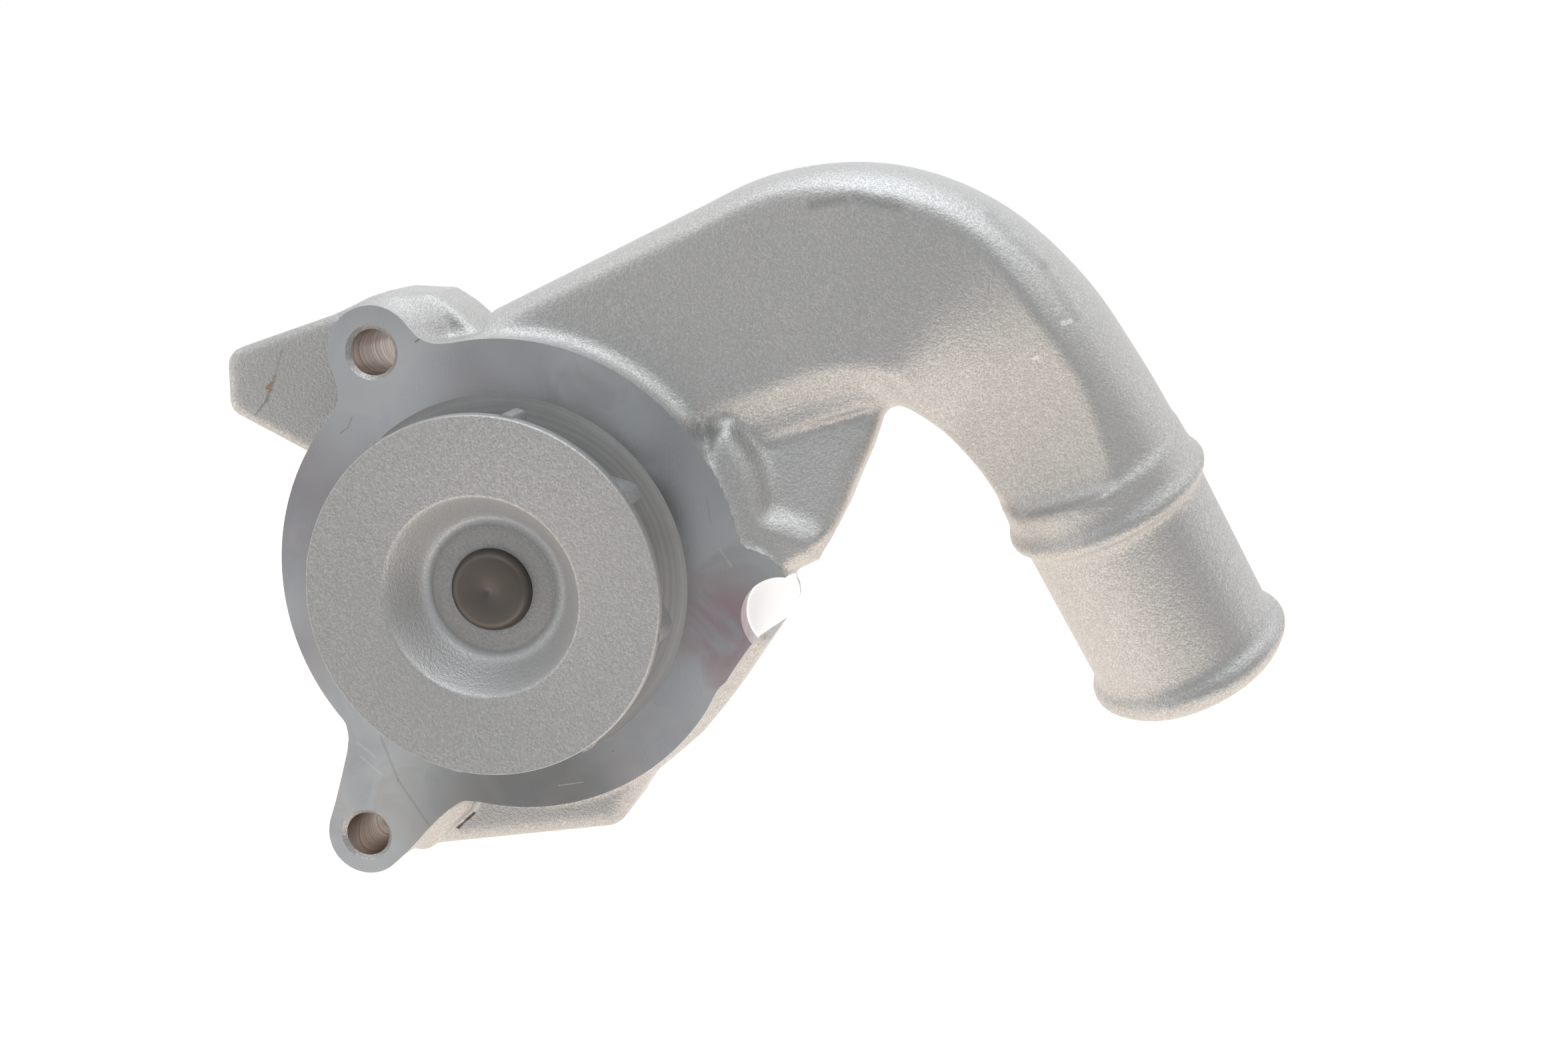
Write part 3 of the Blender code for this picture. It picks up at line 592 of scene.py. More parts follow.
def surface_net(field, low, voxel):
    """Vertices and quads on the zero surface of a grid, one vertex in each cell that it crosses."""
    inside = field < 0
    corners = [(i, j, k) for i in (0, 1) for j in (0, 1) for k in (0, 1)]
    shape = tuple(n - 1 for n in field.shape)
    count = np.zeros(shape, np.int8)
    for i, j, k in corners:
        count += inside[i : i + shape[0], j : j + shape[1], k : k + shape[2]]
    mixed = (count > 0) & (count < 8)
    index = np.full(shape, -1, np.int64)
    cells = np.argwhere(mixed)
    index[mixed] = np.arange(len(cells))
    total = np.zeros((len(cells), 3))
    weight = np.zeros(len(cells))
    for a in corners:
        for axis in range(3):
            if a[axis]:
                continue
            b = tuple(a[d] + (d == axis) for d in range(3))
            fa = field[cells[:, 0] + a[0], cells[:, 1] + a[1], cells[:, 2] + a[2]].astype(float)
            fb = field[cells[:, 0] + b[0], cells[:, 1] + b[1], cells[:, 2] + b[2]].astype(float)
            crossed = (fa < 0) != (fb < 0)
            share = np.where(crossed, fa / np.where(crossed, fa - fb, 1), 0)
            point = np.array(a, float) + share[:, None] * (np.array(b) - np.array(a))
            total[crossed] += point[crossed]
            weight[crossed] += 1
    verts = low + voxel * (cells + total / weight[:, None])
    quads = []
    for axis in range(3):
        u, v = (axis + 1) % 3, (axis + 2) % 3
        near = [slice(1, -1)] * 3
        far = [slice(1, -1)] * 3
        near[axis], far[axis] = slice(0, -1), slice(1, None)
        a, b = inside[tuple(near)], inside[tuple(far)]
        for rising in (True, False):
            at = np.argwhere((a & ~b) if rising else (~a & b))
            at[:, u] += 1
            at[:, v] += 1
            ring = []
            for du, dv in ((-1, -1), (0, -1), (0, 0), (-1, 0)):
                cell = at.copy()
                cell[:, u] += du
                cell[:, v] += dv
                ring.append(index[cell[:, 0], cell[:, 1], cell[:, 2]])
            quad = np.stack(ring, 1)
            quads.append(quad if rising else quad[:, ::-1])
    return verts, np.concatenate(quads)


def sample(field, low, voxel, points):
    """The field between its grid points."""
    at = (points - low) / voxel
    base = np.clip(np.floor(at).astype(int), 0, np.array(field.shape) - 2)
    f = at - base
    value = 0.0
    for i in (0, 1):
        for j in (0, 1):
            for k in (0, 1):
                weight = (f[:, 0] if i else 1 - f[:, 0]) * (f[:, 1] if j else 1 - f[:, 1])
                weight = weight * (f[:, 2] if k else 1 - f[:, 2])
                value = value + weight * field[base[:, 0] + i, base[:, 1] + j, base[:, 2] + k]
    return value


def settle(field, low, voxel, verts, rounds=2):
    """Moves the vertices onto the zero surface, which takes out the grid's steps."""
    for _ in range(rounds):
        value = sample(field, low, voxel, verts)
        slope = []
        for axis in range(3):
            step = np.zeros(3)
            step[axis] = 0.5 * voxel
            rise = sample(field, low, voxel, verts + step) - sample(field, low, voxel, verts - step)
            slope.append(rise / voxel)
        slope = np.stack(slope, 1)
        move = -value[:, None] * slope / np.maximum((slope**2).sum(1), 0.2)[:, None]
        far = np.linalg.norm(move, axis=1)
        move *= np.minimum(1, 0.4 * voxel / np.maximum(far, 1e-9))[:, None]
        verts = verts + move
    return verts


# ---- the casting

FLANGE_CENTRE = (0.5, 0.6)
FLANGE_R = 46.6
UPPER_LUG = (-25.4, 44.0)
UPPER_LUG_R = 9.0
LOWER_LUG = (-30.7, -54.1)
LOWER_LUG_R = 8.1
BODY_DEPTH = 31.0
FRONT_STOCK = 3.5  # stands in front of the mounting face until that is cut
BOLT_R = 4.5
BOLT_CHAMFER = 0.85
SEAT_R = 10.0  # the faces that the bolt heads rest on
SEAT_DEPTH = 2.0
NOTCH = (54.9, -4.8)
NOTCH_R = 7.9
NOTCH_DEPTH = 5.5
STRIP_FRONT = 0.8  # the web's strip lies this far behind the mounting face
# (radius, y) down the impeller's bore
BORE_CONE = [(36.6, 0.0), (36.6, 0.6), (33.2, 3.0), (31.0, 4.6), (26.0, 7.0), (24.6, 8.0), (24.0, 9.0)]
SEAL_BORE_R = 17.3
DRAIN_R = 13.5
RING_SEAT_R = 15.3
CHAMBER_R = 40.0
WALL = 3.6
SPIGOT_R = 18.4
SPIGOT_LENGTH = 40.5
DUCT_STEPS = 420  # points along the gooseneck's centre line
SPIGOT_START = np.array((115.0, 22.2, 15.6))
SPIGOT_DOWN = math.radians(62.6)
SPIGOT_BACK = math.radians(13.6)
NECK_R = 21.5
NECK_END = 79.0
RIBS = ((75, 44), (165, 44), (240, 50), (305, 44))  # (degrees about the neck, reach)
RIB_HALF = 2.4
WEEP_R = 2.2
WEEP_PLACE = (0, 35.9, -6.75)
NEAR_SHAFT = 60.0  # the neck, its ribs and the chamber lie within this of the shaft
GRID_LOW = np.array((-64.0, -4.0, -66.5))
GRID_HIGH = np.array((154.5, 82.5, 83.5))
VOXEL, QUICK_VOXEL = 1.0, 1.6
CAST, FACED, TURNED, DRILLED, MILLED = range(5)  # the casting's finishes


def flange_outline():
    points = arc(FLANGE_CENTRE, FLANGE_R, -22, 102, 36)
    points += [(-12.0, 45.9), (-13.8, 46.1), (-15.6, 46.9), (-17.0, 48.0)]
    points += arc(UPPER_LUG, UPPER_LUG_R, 35, 194, 24)
    points += [(-33.4, 39.6), (-32.8, 37.4), (-32.5, 35.6)]
    points += arc(FLANGE_CENTRE, FLANGE_R, 136, 222, 30)
    points += [(-33.6, -33.4), (-34.0, -36.4), (-35.4, -41.6), (-37.0, -47.2), (-38.6, -52.0)]
    points += arc(LOWER_LUG, LOWER_LUG_R, 172, 314, 20)
    points += [(-21.6, -56.6), (-18.3, -52.7), (-15.4, -49.6), (-13.2, -47.6), (-11.4, -46.3), (-9.8, -45.4)]
    points += arc(FLANGE_CENTRE, FLANGE_R, 261, 328, 24)
    return points


def ear_outline():
    """The thin corner of the flange at the milled notch."""
    points = [(57.2, 1.2), (53.3, 5.7), (52.5, 6.6), (51.4, 7.2), (49.6, 7.7), (47.6, 8.4), (46.4, 9.3)]
    points += [(45.9, 10.4), (40.0, 9.0), (38.0, -14.0), (43.4, -18.5), (48.9, -10.4), (55.1, -5.9)]
    return points + [(57.6, -1.4)]


def lower_block_outline():
    points = [(-36.0, -46.0), (-27.0, -59.6)]
    points += arc((17.2, -47.4), 4.6, -82, -16, 8)
    points += [(24.2, -44.9), (26.8, -40.7), (32.3, -35.8), (37.3, -31.2), (42.5, -24.6), (48.1, -16.0)]
    return points + [(51.2, -11.2), (47.0, -7.5), (20.0, -20.0), (-20.0, -20.0)]


def flare_outline():
    """The foot of the lower lug, which widens towards the back."""
    return [(-20.8, -54.8), (-18.3, -52.1), (-15.4, -49.1), (-12.6, -46.6), (-20.0, -44.0), (-27.0, -51.0)]


def arm_outline():
    points = arc((-57.4, 32.4), 3.4, 245, 180, 8)
    points += arc((-56.6, 39.2), 4.2, 180, 110, 8)
    points += [(-38.0, 50.0), (-34.0, 51.8), (-30.0, 53.6), (-26.3, 54.7), (-17.0, 54.5), (-12.8, 52.0)]
    return points + [(-8.8, 48.6), (-7.0, 46.0), (-20.0, 20.0), (-44.0, 22.0)]


WEB_FOOT = [(61.2, 5.6), (58.0, 3.9), (54.4, 1.7), (50.0, -3.0), (38.0, -3.0)]


def web_outline():
    points = [(38.0, 40.0), (72.0, 46.0), (72.6, 37.2), (72.2, 34.4), (71.4, 30.4), (70.0, 26.0)]
    points += [(67.4, 19.8), (66.1, 15.8), (64.1, 11.4), (62.8, 8.8), (61.6, 6.8)]
    return points + WEB_FOOT


def strip_outline():
    """The raised strip of the web, along the flange and round the bottom of the pocket."""
    points = [(40.0, 22.0), (42.6, 29.0), (43.6, 30.0), (44.6, 28.4), (46.4, 25.6), (48.2, 22.2)]
    points += [(49.5, 18.0), (50.1, 15.0), (51.0, 13.6), (53.5, 12.9), (56.3, 12.1), (59.1, 11.0)]
    return points + [(61.6, 9.8), (62.4, 9.0)] + WEB_FOOT


def ledge_outline():
    points = [(40.0, 27.0), (45.0, 26.6), (49.9, 27.3), (55.6, 29.6), (61.2, 31.6), (66.8, 33.6)]
    return points + [(70.6, 35.0), (70.0, 46.0), (40.0, 46.0)]


def duct_stations():
    """Sections along the gooseneck: (centre, side, depth, squareness outside, inside, face, roll).

    The squareness is a superellipse's power, and face is the flat front's distance from the centre.
    """
    return [
        ((4.0, 18.0, 33.0), 41.0, 34.0, 3.4, 2.4, 13.5, 0),
        ((25.0, 18.0, 43.2), 41.0, 34.4, 3.4, 2.4, 13.75, 0),
        ((44.9, 18.4, 51.8), 43.0, 35.8, 3.4, 2.4, 14.5, 0),
        ((57.6, 18.8, 56.6), 44.7, 37.8, 3.4, 2.4, 15.5, 0),
        ((70.2, 19.3, 57.5), 44.4, 39.6, 3.3, 2.3, 16.5, 2),
        ((82.8, 20.0, 53.6), 42.6, 40.8, 3.2, 2.2, 16.7, 4),
        ((94.6, 20.6, 45.1), 39.8, 40.6, 2.8, 2.1, 14.3, 20),
        ((103.9, 21.0, 34.2), 37.4, 39.0, 2.4, 2.0, 13.5, 22),
        ((110.8, 21.6, 23.6), 36.8, 37.2, 2.1, 2.0, 14.6, 22),
        ((115.0, 22.2, 15.6), 36.8, 36.8, 2.0, 2.0, 17.1, 18),
    ]


def spline(values, t):
    """Catmull-Rom through rows of numbers, t counted in rows."""
    values = np.asarray(values, float)
    i = np.minimum(t.astype(int), len(values) - 2)
    f = (t - i)[:, None]
    b, c = values[i], values[i + 1]
    a = np.where((i > 0)[:, None], values[np.maximum(i - 1, 0)], 2 * b - c)
    d = np.where((i + 2 < len(values))[:, None], values[np.minimum(i + 2, len(values) - 1)], 2 * c - b)
    return 0.5 * (2 * b + (c - a) * f + (2 * a - 5 * b + 4 * c - d) * f**2 + (3 * b - a - 3 * c + d) * f**3)


def duct_distance(x, y, z, shrink, first=0.0):
    """Distance to the gooseneck up to the spigot, shrunk by the wall for its inside."""
    rows = []
    for centre, side, depth, outside, inside, face, roll in duct_stations():
        rows.append((*centre, side / 2, depth / 2, outside, inside, face, math.radians(roll)))
    t = np.linspace(first, len(rows) - 1, DUCT_STEPS)
    line = spline(rows, t)
    heading = np.gradient(line[:, [0, 2]], axis=0)
    heading /= np.linalg.norm(heading, axis=1)[:, None]
    flat_x, flat_z = np.broadcast_arrays(x[:, 0, :], z[:, 0, :])
    nearest = np.zeros(flat_x.shape, int)
    for i in range(flat_x.shape[0]):
        gap = (flat_x[i][:, None] - line[None, :, 0]) ** 2 + (flat_z[i][:, None] - line[None, :, 2]) ** 2
        nearest[i] = gap.argmin(1)
    # every depth of the grid has the same nearest section
    here = line[nearest][:, None]
    along_x, along_z = np.moveaxis(heading[nearest][:, None], -1, 0)
    dx = x - here[..., 0]
    dz = z - here[..., 2]
    across = dx * along_z - dz * along_x
    beyond = dx * along_x + dz * along_z
    power = np.where(across > 0, here[..., 6], here[..., 5])
    inward = y - here[..., 1]
    u = np.abs(across) / (here[..., 3] - shrink)
    v = np.abs(inward) / (here[..., 4] - shrink)
    g = (np.maximum(u, 1e-4) ** power + np.maximum(v, 1e-4) ** power) ** (1 / power)
    section = np.sqrt(across**2 + inward**2 + 0.01) * (1 - 1 / g)
    roll = here[..., 8]
    face = here[..., 7] - shrink - np.abs(across * np.sin(roll) - inward * np.cos(roll))
    section = carve(section, face, 1.0)
    past = np.where(nearest == 0, -1.0, np.where(nearest == len(t) - 1, 1.0, 0.0))[:, None] * beyond
    return np.where(past > 0, np.maximum(section, past), section).astype(np.float32)


def spigot_direction():
    """The spigot points down to the right, and a little back."""
    flat = math.cos(SPIGOT_BACK)
    return np.array((math.cos(SPIGOT_DOWN) * flat, math.sin(SPIGOT_BACK), -math.sin(SPIGOT_DOWN) * flat))


def spigot_outline(shrink):
    """(distance along, radius) outline of half the spigot, its beads outside and a plain bore inside."""
    if shrink:
        bore = SPIGOT_R - shrink
        end = SPIGOT_LENGTH
        return [(-3.0, 0.0), (end + 3, 0.0), (end + 3, bore + 3.8), (end - 0.8, bore), (-3.0, bore)]
    points = [(-9.0, 0.0), (SPIGOT_LENGTH, 0.0)]
    points += arc((SPIGOT_LENGTH - 1.6, SPIGOT_R - 1.9), 1.6, 0, 60, 4)
    points += [(SPIGOT_LENGTH - 1.5, SPIGOT_R + 0.35)]
    points += arc((36.2, SPIGOT_R - 0.6), 2.5, 42, 128, 8)
    points += [(33.6, SPIGOT_R + 0.35), (32.2, SPIGOT_R + 0.03), (30.5, SPIGOT_R), (2.4, SPIGOT_R)]
    points += [(1.2, SPIGOT_R + 0.15), (0.2, SPIGOT_R + 0.7)]
    points += arc((-1.6, SPIGOT_R - 0.1), 2.0, 35, 138, 8)
    points += [(-4.2, SPIGOT_R + 0.45), (-6.0, SPIGOT_R + 0.1), (-9.0, SPIGOT_R - 0.2)]
    return points


def spigot_distance(x, y, z, shrink):
    dx, dy, dz = x - SPIGOT_START[0], y - SPIGOT_START[1], z - SPIGOT_START[2]
    direction = spigot_direction()
    along = dx * direction[0] + dy * direction[1] + dz * direction[2]
    far = np.sqrt(np.maximum(dx**2 + dy**2 + dz**2 - along**2, 0))
    return outline_distance(spigot_outline(shrink), along, far)


def rib_distance(x, y, z, degrees, reach):
    """A rib from the rear shell up the neck."""
    c, s = math.cos(math.radians(degrees)), math.sin(math.radians(degrees))
    out = x * c + z * s
    side = np.abs(-x * s + z * c) - RIB_HALF
    outline = [(NECK_R - 6, 26.0), (reach, 26.0), (reach, 31.5), (NECK_R - 1, 63.0), (NECK_R - 6, 63.0)]
    return np.maximum(outline_distance(outline, out, y), side)


def flange_distance(x, y, z):
    """The flange with its lugs and its ear, and the block and the arm that show behind its edge."""
    draft = 0.02 * np.maximum(y, 0)
    flange = outline_distance(flange_outline(), x, z)
    field = slab(flange - draft, y, -FRONT_STOCK, BODY_DEPTH, 1.2)
    block = slab(outline_distance(lower_block_outline(), x, z), y, 6.0, 30.0, 3.4)
    field = join(field, block, 2.2)
    arm_flat = outline_distance(arm_outline(), x, z)
    field = join(field, slab(arm_flat, y, 10.0, 27.0, 1.8), 2.4)
    lug = np.sqrt((x - UPPER_LUG[0]) ** 2 + (z - UPPER_LUG[1]) ** 2)
    cone = lug - 8.9 - 0.42 * np.maximum(y - 0.3, 0)
    cone = np.maximum(np.maximum(cone, arm_flat), -26.0 - x)
    field = join(field, slab(cone, y, 0.3, 26.0, 0.8), 1.2)
    flare = outline_distance(flare_outline(), x, z) - np.clip(0.85 * (y - 0.2), 0, 3.6)
    field = join(field, slab(flare, y, 0.3, 16.0, 0.4), 0.6)
    ear = slab(outline_distance(ear_outline(), x, z), y, -FRONT_STOCK, 8.2, 1.0)
    return join(field, ear, 1.6)


def web_distance(x, y, z):
    """The web under the duct: its shallow pocket, its strip along the flange and its ledge."""
    flat = outline_distance(web_outline(), x, z)
    floor = np.clip(3.4 + 0.28 * (z - 13), 3.2, 9.6)
    back = np.clip(9.0 + 0.75 * (z - 5), 8.5, 20.0)
    web = slab(flat, y, floor, back, 3.2)
    down = np.clip((y - STRIP_FRONT) / np.maximum(floor - STRIP_FRONT, 1.5), 0, 1.5)
    slope = np.clip(1.7 + 0.25 * (z - 14), 1.7, 3.2) * down
    strip = np.maximum(outline_distance(strip_outline(), x, z) - slope, flat + 1.4)
    web = join(web, slab(strip, y, STRIP_FRONT, np.minimum(back, 14.0), 2.2), 1.8)
    ledge = np.maximum(outline_distance(ledge_outline(), x, z), flat + 0.6)
    return join(web, slab(ledge, y, 6.8, 20.0, 1.8), 1.2)


def near_shaft(x, y, z, low, high):
    """The part of the grid about the shaft between two depths, with its coordinates and radius."""
    near_x, near_z = np.abs(x.ravel()) < NEAR_SHAFT, np.abs(z.ravel()) < NEAR_SHAFT
    between = (y.ravel() > low) & (y.ravel() < high)
    x, y, z = x[near_x], y[:, between], z[:, :, near_z]
    return np.ix_(near_x, between, near_z), x, y, z, np.sqrt(x**2 + z**2)


def casting_field(voxel):
    """The whole casting's distance on a grid, before its machined faces are cut."""
    x, y, z = (np.arange(GRID_LOW[i], GRID_HIGH[i], voxel, dtype=np.float32) for i in range(3))
    x, y, z = x[:, None, None], y[None, :, None], z[None, None, :]
    field = join(flange_distance(x, y, z), web_distance(x, y, z), 1.6)
    duct = join(duct_distance(x, y, z, 0.0), spigot_distance(x, y, z, 0.0), 2.0)
    field = join(field, duct, 4.6)

    part, px, py, pz, far = near_shaft(x, y, z, 16, GRID_HIGH[1])
    neck = [(0.0, 20.0), (41.0, 24.0), (41.0, 30.6), (38.0, 31.4), (30.0, 37.0), (26.0, 40.6)]
    neck += [(23.4, 45.0), (22.0, 50.0), (NECK_R, 56.0), (NECK_R, NECK_END + 2), (0.0, NECK_END + 2)]
    rear = join(field[part], outline_distance(neck, far, py), 3.0)
    for degrees, reach in RIBS:
        rear = join(rear, rib_distance(px, py, pz, degrees, reach), 3.2)
    field[part] = rear

    inside = join(duct_distance(x, y, z, WALL, first=0.9), spigot_distance(x, y, z, WALL), 1.0)
    field = np.maximum(field, -np.where(y > -2, inside, 9.0))
    part, px, py, pz, far = near_shaft(x, y, z, GRID_LOW[1] - 1, 40)
    field[part] = carve(field[part], slab(far - CHAMBER_R, py, 11.5, 26.5, 3.0), 1.0)
    return field.astype(np.float32)


def turned_cutter():
    """The impeller's bore in front, then the bores of the eye, the seal, the drain and the bearing."""
    profile = [(0, -6), (40.0, -6), (40.0, -1), (BORE_CONE[0][0] + 1, -1), *BORE_CONE]
    profile += [(24.0, 20.0), (SEAL_BORE_R, 20.0), (SEAL_BORE_R, 33.3), (DRAIN_R, 33.3), (DRAIN_R, 38.2)]
    profile += [(RING_SEAT_R, 38.2), (RING_SEAT_R, NECK_END - 0.8), (RING_SEAT_R + 0.8, NECK_END)]
    profile += [(RING_SEAT_R + 0.8, NECK_END + 6), (0, NECK_END + 6)]
    return lathe("turned_bore", profile, 160)


def box_cutter(name, low, high):
    verts = [(a, b, c) for a in (low[0], high[0]) for b in (low[1], high[1]) for c in (low[2], high[2])]
    faces = [(0, 1, 3, 2), (4, 6, 7, 5), (0, 4, 5, 1), (2, 3, 7, 6), (0, 2, 6, 4), (1, 5, 7, 3)]
    obj = mesh_object(name, verts, faces)
    face_out(obj)
    return obj


def casting_cutters():
    """Helper objects for the mounting face, the bores, the bolt holes, the notch and the weep hole."""
    cutters = [box_cutter("mounting_plane", (-80, -20, -80), (80, 0, 80)), turned_cutter()]
    for name, centre in (("upper", UPPER_LUG), ("lower", LOWER_LUG)):
        hole = [(0, -6), (BOLT_R + BOLT_CHAMFER + 6, -6), (BOLT_R, BOLT_CHAMFER), (BOLT_R, 45), (0, 45)]
        cutters.append(drill(f"{name}_hole", centre, hole))
        top = BODY_DEPTH - SEAT_DEPTH
        seat = [(0, top), (SEAT_R - 0.4, top), (SEAT_R, top + 0.4), (SEAT_R, 42), (0, 42)]
        cutters.append(drill(f"{name}_seat", centre, seat))
    notch = [(0, -6), (NOTCH_R, -6), (NOTCH_R, NOTCH_DEPTH - 0.3)]
    notch += [(NOTCH_R - 0.3, NOTCH_DEPTH), (0, NOTCH_DEPTH)]
    cutters.append(drill("notch", NOTCH, notch))
    cutters.append(box_cutter("neck_end", (-40, NECK_END, -40), (40, NECK_END + 20, 40)))
    weep = lathe("weep", [(0, 0), (WEEP_R, 0), (WEEP_R, 40), (0, 40)], 32)
    down = Matrix.Rotation(math.radians(-90), 4, "X")
    weep.data.transform(Matrix.Translation([v * MM for v in WEEP_PLACE]) @ down)
    return cutters + [weep]


def casting(finishes):
    """The housing: its field made into a mesh, machined, and given one finish for each kind of face."""
    voxel = VOXEL
    field = casting_field(voxel)
    verts, quads = surface_net(field, GRID_LOW, voxel)
    verts = settle(field, GRID_LOW, voxel, verts)
    body = mesh_object("housing_casting", verts, quads, finishes)
    cut(body, casting_cutters())
    label_faces(body)
    soften(body, 38)
    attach(body, "housing_body")
    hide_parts("housing")


def label_faces(body):
    """Gives each cut surface its own machined finish."""
    polygons = body.data.polygons
    count = len(polygons)
    centre, normal = np.empty((2, count * 3), np.float32)
    polygons.foreach_get("center", centre)
    polygons.foreach_get("normal", normal)
    x, y, z = (centre.reshape(-1, 3) / MM).T
    facing_x, facing_y, facing_z = normal.reshape(-1, 3).T
    far = np.hypot(x, z)
    outward = (facing_x * x + facing_z * z) / np.maximum(far, 1e-6)
    kind = np.full(count, CAST, np.int32)
    kind[(np.abs(y) < 0.02) & (facing_y < -0.95)] = FACED

    cone_r, cone_y = zip(*BORE_CONE)
    on_cone = np.abs(far - np.interp(y, cone_y, cone_r)) < 0.12
    kind[(y < 11.6) & on_cone & (far > 20)] = TURNED
    bores = [(26, 33.4, SEAL_BORE_R), (33.2, 38.4, DRAIN_R)]
    bores += [(38.0, 80, RING_SEAT_R), (NECK_END - 1, 80, RING_SEAT_R + 0.4)]
    for low, high, radius in bores:
        kind[(y > low) & (y < high) & (np.abs(far - radius) < 0.5) & (outward < -0.5)] = TURNED
    kind[(np.abs(y - NECK_END) < 0.02) & (facing_y > 0.95)] = TURNED
    kind[(far < SEAL_BORE_R + 0.1) & (np.abs(facing_y) > 0.98) & (y > 30)] = TURNED

    seat_y = BODY_DEPTH - SEAT_DEPTH
    for lug in (UPPER_LUG, LOWER_LUG):
        local = np.hypot(x - lug[0], z - lug[1])
        kind[(local < BOLT_R + 0.1) & (y > 0.8)] = DRILLED
        on_seat = (local < SEAT_R + 0.05) & (y > seat_y - 0.05) & (y < seat_y + 0.5)
        kind[on_seat & (kind == CAST)] = FACED
    local = np.hypot(x - NOTCH[0], z - NOTCH[1])
    kind[(local < NOTCH_R + 0.05) & (y > 0.05) & (y < NOTCH_DEPTH + 0.05)] = MILLED
    on_wall = (np.abs(local - NOTCH_R) < 0.2) & (np.abs(facing_y) < 0.5)
    kind[on_wall & (y > 0.05) & (y < NOTCH_DEPTH - 0.4)] = FACED
    polygons.foreach_set("material_index", kind)


# ---- rotor

VANES = 8
VANE_FIRST = math.radians(33)
VANE_START, VANE_TIP = 11.0, 34.9  # radii
VANE_SWEEP = math.radians(62)
VANE_LEAN = math.radians(48)
VANE_ROUND = 0.09  # the share of a vane that its rounded tip takes
VANE_FRONT = ((11.0, 14.2, 16.6, 19.4, 22.0, 35.5), (-1.5, -2.6, -6.7, -10.9, -13.4, -13.4))  # radii, y
SHAFT_R = 7.959
SHAFT_FRONT, SHAFT_BACK = -9.4, 95.0
BALL_ROWS = (47.5, 68.4)
PITCH_R = 10.4
GROOVE_R = 3.15
HUB_FRONT, HUB_BACK = 86.0, 91.0  # the hub's disc
HUB_HOLES = 4
HUB_HOLE_CIRCLE_R = 23.0


def dish_profile():
    """(radius, y) of the impeller's front, from the shaft bore out to the rim."""
    points = [(8.0, -6.7), (8.02, -7.02), (8.15, -7.15), (11.7, -7.15), (12.05, -7.08), (12.3, -6.85)]
    points += [(12.5, -6.45), (12.75, -6.05), (13.1, -5.8), (13.55, -5.75), (14.1, -6.05), (14.7, -6.7)]
    points += [(15.4, -7.7), (16.2, -9.0), (17.0, -10.4), (17.8, -11.85), (18.4, -12.95), (18.85, -13.75)]
    points += [(19.15, -14.2), (19.4, -14.42), (19.75, -14.5), (34.25, -14.5), (34.42, -14.53)]
    return points + [(34.55, -14.4), (34.62, -14.1), (34.8, -12.6), (34.6, -12.2)]


def back_profile():
    """(radius, y) of the impeller's back, from the rim in to the shaft bore."""
    points = [(34.2, -12.0), (22.6, -12.0), (21.4, -10.9), (20.2, -9.0), (19.0, -6.7), (17.8, -4.8)]
    points += [(16.4, -2.8), (15.2, -0.4), (14.2, 2.6), (13.2, 6.0), (12.6, 8.6), (12.2, 9.0)]
    return points + [(8.2, 9.0), (8.0, 8.8)]


def vane(name, turn):
    """One swept vane between the disc and the bore's cone, with a rounded tip."""
    steps = 22
    sides = ([], [])
    for i in range(steps + 1):
        f = i / steps
        radius = VANE_START + (VANE_TIP - VANE_START) * f
        angle = turn + VANE_SWEEP * (1 - f) ** 1.25
        into_tip = max(0.0, (f - (1 - VANE_ROUND)) / VANE_ROUND)
        half = max(0.35, (2.5 - 0.3 * f) * math.sqrt(max(0.0, 1 - into_tip**2)))
        heading = angle - VANE_LEAN
        centre = np.array((radius * math.cos(angle), radius * math.sin(angle)))
        across = np.array((math.sin(heading), -math.cos(heading)))
        rear = 6.0 - 12.0 * f
        for side, sign in zip(sides, (1, -1)):
            x, z = centre + across * half * sign
            side.append((x, z, rear))
    outline = sides[0] + sides[1][::-1]
    count = len(outline)
    verts = []
    for x, z, rear in outline:
        far = math.hypot(x, z)
        front = np.interp(far, *VANE_FRONT)
        verts.append((x, float(front), z))
    verts += [(x, rear, z) for x, z, rear in outline]
    faces = [(i, (i + 1) % count, count + (i + 1) % count, count + i) for i in range(count)]
    for base in (0, count):
        for i in range(steps):
            faces.append((base + i, base + i + 1, base + count - 2 - i, base + count - 1 - i))
    obj = mesh_object(name, verts, faces)
    face_out(obj)
    return obj


def impeller(finishes):
    """The turned disc and hub with their vanes. The second finish is for the shaft's bore."""
    body = lathe("impeller_casting", dish_profile() + back_profile(), 192, finishes)
    vanes = [vane(f"vane_{i}", VANE_FIRST + math.tau * i / VANES) for i in range(VANES)]
    cut(body, vanes, "UNION")
    for polygon in body.data.polygons:
        in_bore = math.hypot(polygon.center.x, polygon.center.z) < 8.45 * MM and polygon.center.y < 0
        polygon.material_index = 1 if in_bore else 0
    bevel = body.modifiers.new("edges", "BEVEL")
    bevel.width = 0.35 * MM
    bevel.segments = 2
    bevel.limit_method = "ANGLE"
    bevel.angle_limit = math.radians(50)
    soften(body, 40)
    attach(body, "rotor")
    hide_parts("impeller")


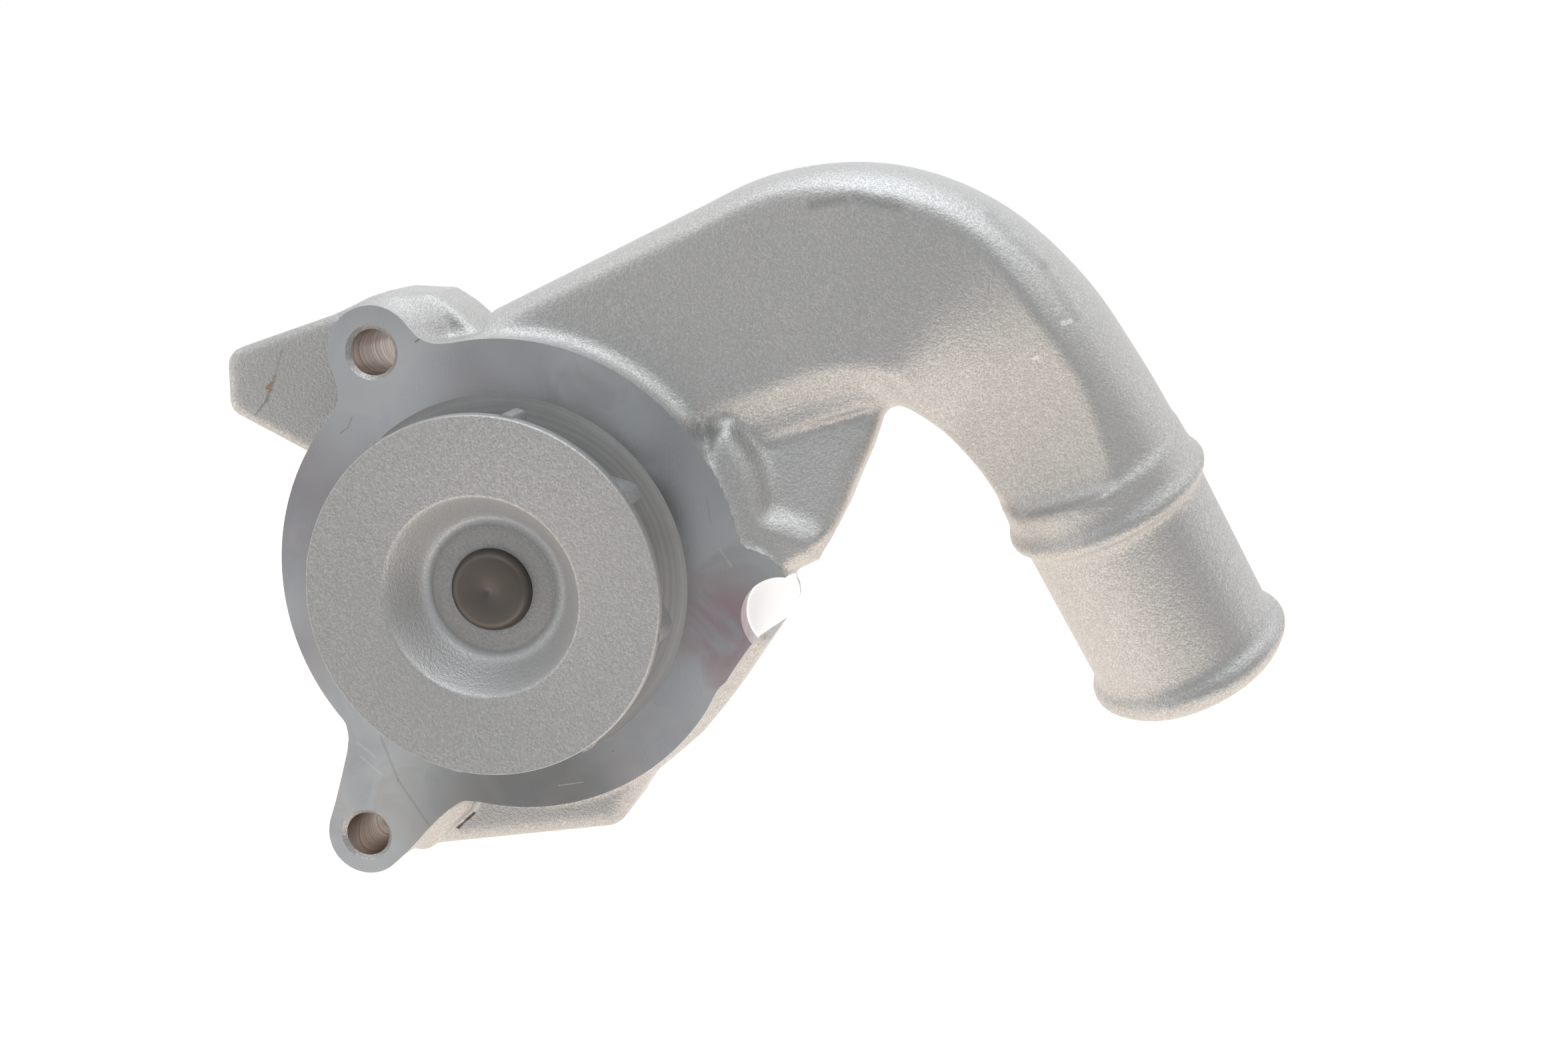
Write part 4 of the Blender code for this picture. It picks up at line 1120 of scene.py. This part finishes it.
def shaft(finish):
    """The bearing's shaft: a chamfered front end with a centre mark, and a groove for each row of balls."""
    profile = [(0, -9.25), (0.5, -9.28), (0.75, SHAFT_FRONT), (6.1, SHAFT_FRONT), (6.7, -9.3), (7.2, -9.0)]
    profile += [(7.6, -8.5), (7.85, -7.9), (SHAFT_R, -7.2)]
    for row in BALL_ROWS:
        for t in np.linspace(-0.69, 0.69, 9):
            profile.append((PITCH_R - GROOVE_R * math.cos(t), row + GROOVE_R * math.sin(t)))
    profile += [(SHAFT_R, SHAFT_BACK - 1), (7.5, SHAFT_BACK - 0.3), (6.9, SHAFT_BACK)]
    profile += [(1.2, SHAFT_BACK), (0.9, SHAFT_BACK - 0.3), (0, SHAFT_BACK - 0.4)]
    body = lathe("bearing_shaft", profile, 128, [finish])
    soften(body, 30)
    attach(body, "rotor")
    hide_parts("shaft")


def drive_hub(finish):
    """The pressed flange that carries the pulley: a boss on the shaft, a disc and a pilot."""
    profile = [(8.26, 80.9), (8.6, 80.5), (12.6, 80.5), (13.0, 80.9), (13.2, 83.0), (13.8, 85.2)]
    profile += [(14.6, 85.9), (15.4, HUB_FRONT), (30.2, HUB_FRONT), (30.8, 86.3), (31.0, 86.9), (31.0, 90.3)]
    profile += [(30.8, 90.8), (30.3, HUB_BACK), (15.7, HUB_BACK), (15.45, 90.8), (15.2, HUB_BACK)]
    profile += [(15.0, 91.4), (15.0, 95.2)]
    profile += [(14.8, 95.8), (14.2, 96.0), (9.2, 96.0), (8.26, 95.2)]
    body = lathe("drive_flange", profile, 160, [finish])
    hole = [(0, 84), (3.9, 84), (3.9, 85.5), (3.3, 86.4), (3.3, 90.4), (4.3, 91.4), (4.3, 93), (0, 93)]
    holes = []
    for i in range(HUB_HOLES):
        angle = math.tau * (i + 0.5) / HUB_HOLES
        centre = (HUB_HOLE_CIRCLE_R * math.cos(angle), HUB_HOLE_CIRCLE_R * math.sin(angle))
        holes.append(drill(f"hub_hole_{i}", centre, hole, 40))
    cut(body, holes)
    soften(body, 30)
    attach(body, "rotor")
    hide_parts("drive_hub")


# ---- inner pieces


def dress_inner_pieces():
    """Finishes for the bearing and seal pieces that are kept as the CAD has them."""
    steel = turned_material("ground_ring", (0.50, 0.49, 0.47), 0.3, 0.22, 0.15)
    chrome = plain_material("ball_polish", (0.72, 0.72, 0.74), 0.1, 1.0, 3000, 0.02, 0.03)
    sheet = plain_material("pressed_sheet", (0.58, 0.57, 0.56), 0.32, 1.0, 1400, 0.1, 0.1)
    rubber = plain_material("nitrile", (0.022, 0.022, 0.023), 0.7, 0.0, 1800, 0.3, 0.3)
    nylon = plain_material("cage_polyamide", (0.60, 0.50, 0.34), 0.5, 0.0, 900, 0.15, 0.08)
    carbon = plain_material("lapped_carbon", (0.05, 0.05, 0.054), 0.35, 0.1, 2200, 0.1, 0.2)
    ceramic = plain_material("lapped_ceramic", (0.80, 0.78, 0.73), 0.28, 0.0, 2600, 0.04, 0.04)
    finishes = {
        "bearing_outer_ring": steel,
        "bearing_lip_seal_front": rubber,
        "bearing_lip_seal_rear": rubber,
        "bearing_cage_front": nylon,
        "bearing_cage_rear": nylon,
        "water_slinger": sheet,
        "seal_cup": sheet,
        "seal_spring": sheet,
        "spring_washer": sheet,
        "seal_bellows": rubber,
        "seat_boot": rubber,
        "carbon_ring": carbon,
        "seat_ring": ceramic,
    }
    for name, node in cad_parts.items():
        finish = finishes.get(name, chrome if name.startswith("ball_") else None)
        if finish is None:
            continue
        node.data.materials.clear()
        node.data.materials.append(finish)


def main():
    add_camera()
    add_studio()
    add_softbox()
    cast = cast_material("shot_blasted_aluminium", (0.62, 0.62, 0.615), marks=CASTING_MARKS_AND_SHADE)
    turned = turned_material("turned_bore", (0.86, 0.88, 0.90), 0.7, 0.45, 0.2, contrast=0.9, metallic=0.3)
    drilled = turned_material("drilled_hole", (0.52, 0.46, 0.42), 0.40, 0.36, 0.4, UPPER_LUG, 1.5)
    casting([cast, machined_face_material(), turned, drilled, milled_material()])
    impeller_cast = cast_material("impeller_cast", (0.565, 0.568, 0.57), 0.8, 0.52, bands=IMPELLER_LIGHT_AND_SHADE)
    impeller([impeller_cast, turned])
    shaft(turned_material("ground_shaft", (0.17, 0.152, 0.138), 0.3, 0.42, 0.25, contrast=0.25))
    drive_hub(turned_material("turned_hub", (0.42, 0.42, 0.43), 0.5, 0.33, 0.25))
    dress_inner_pieces()


main()
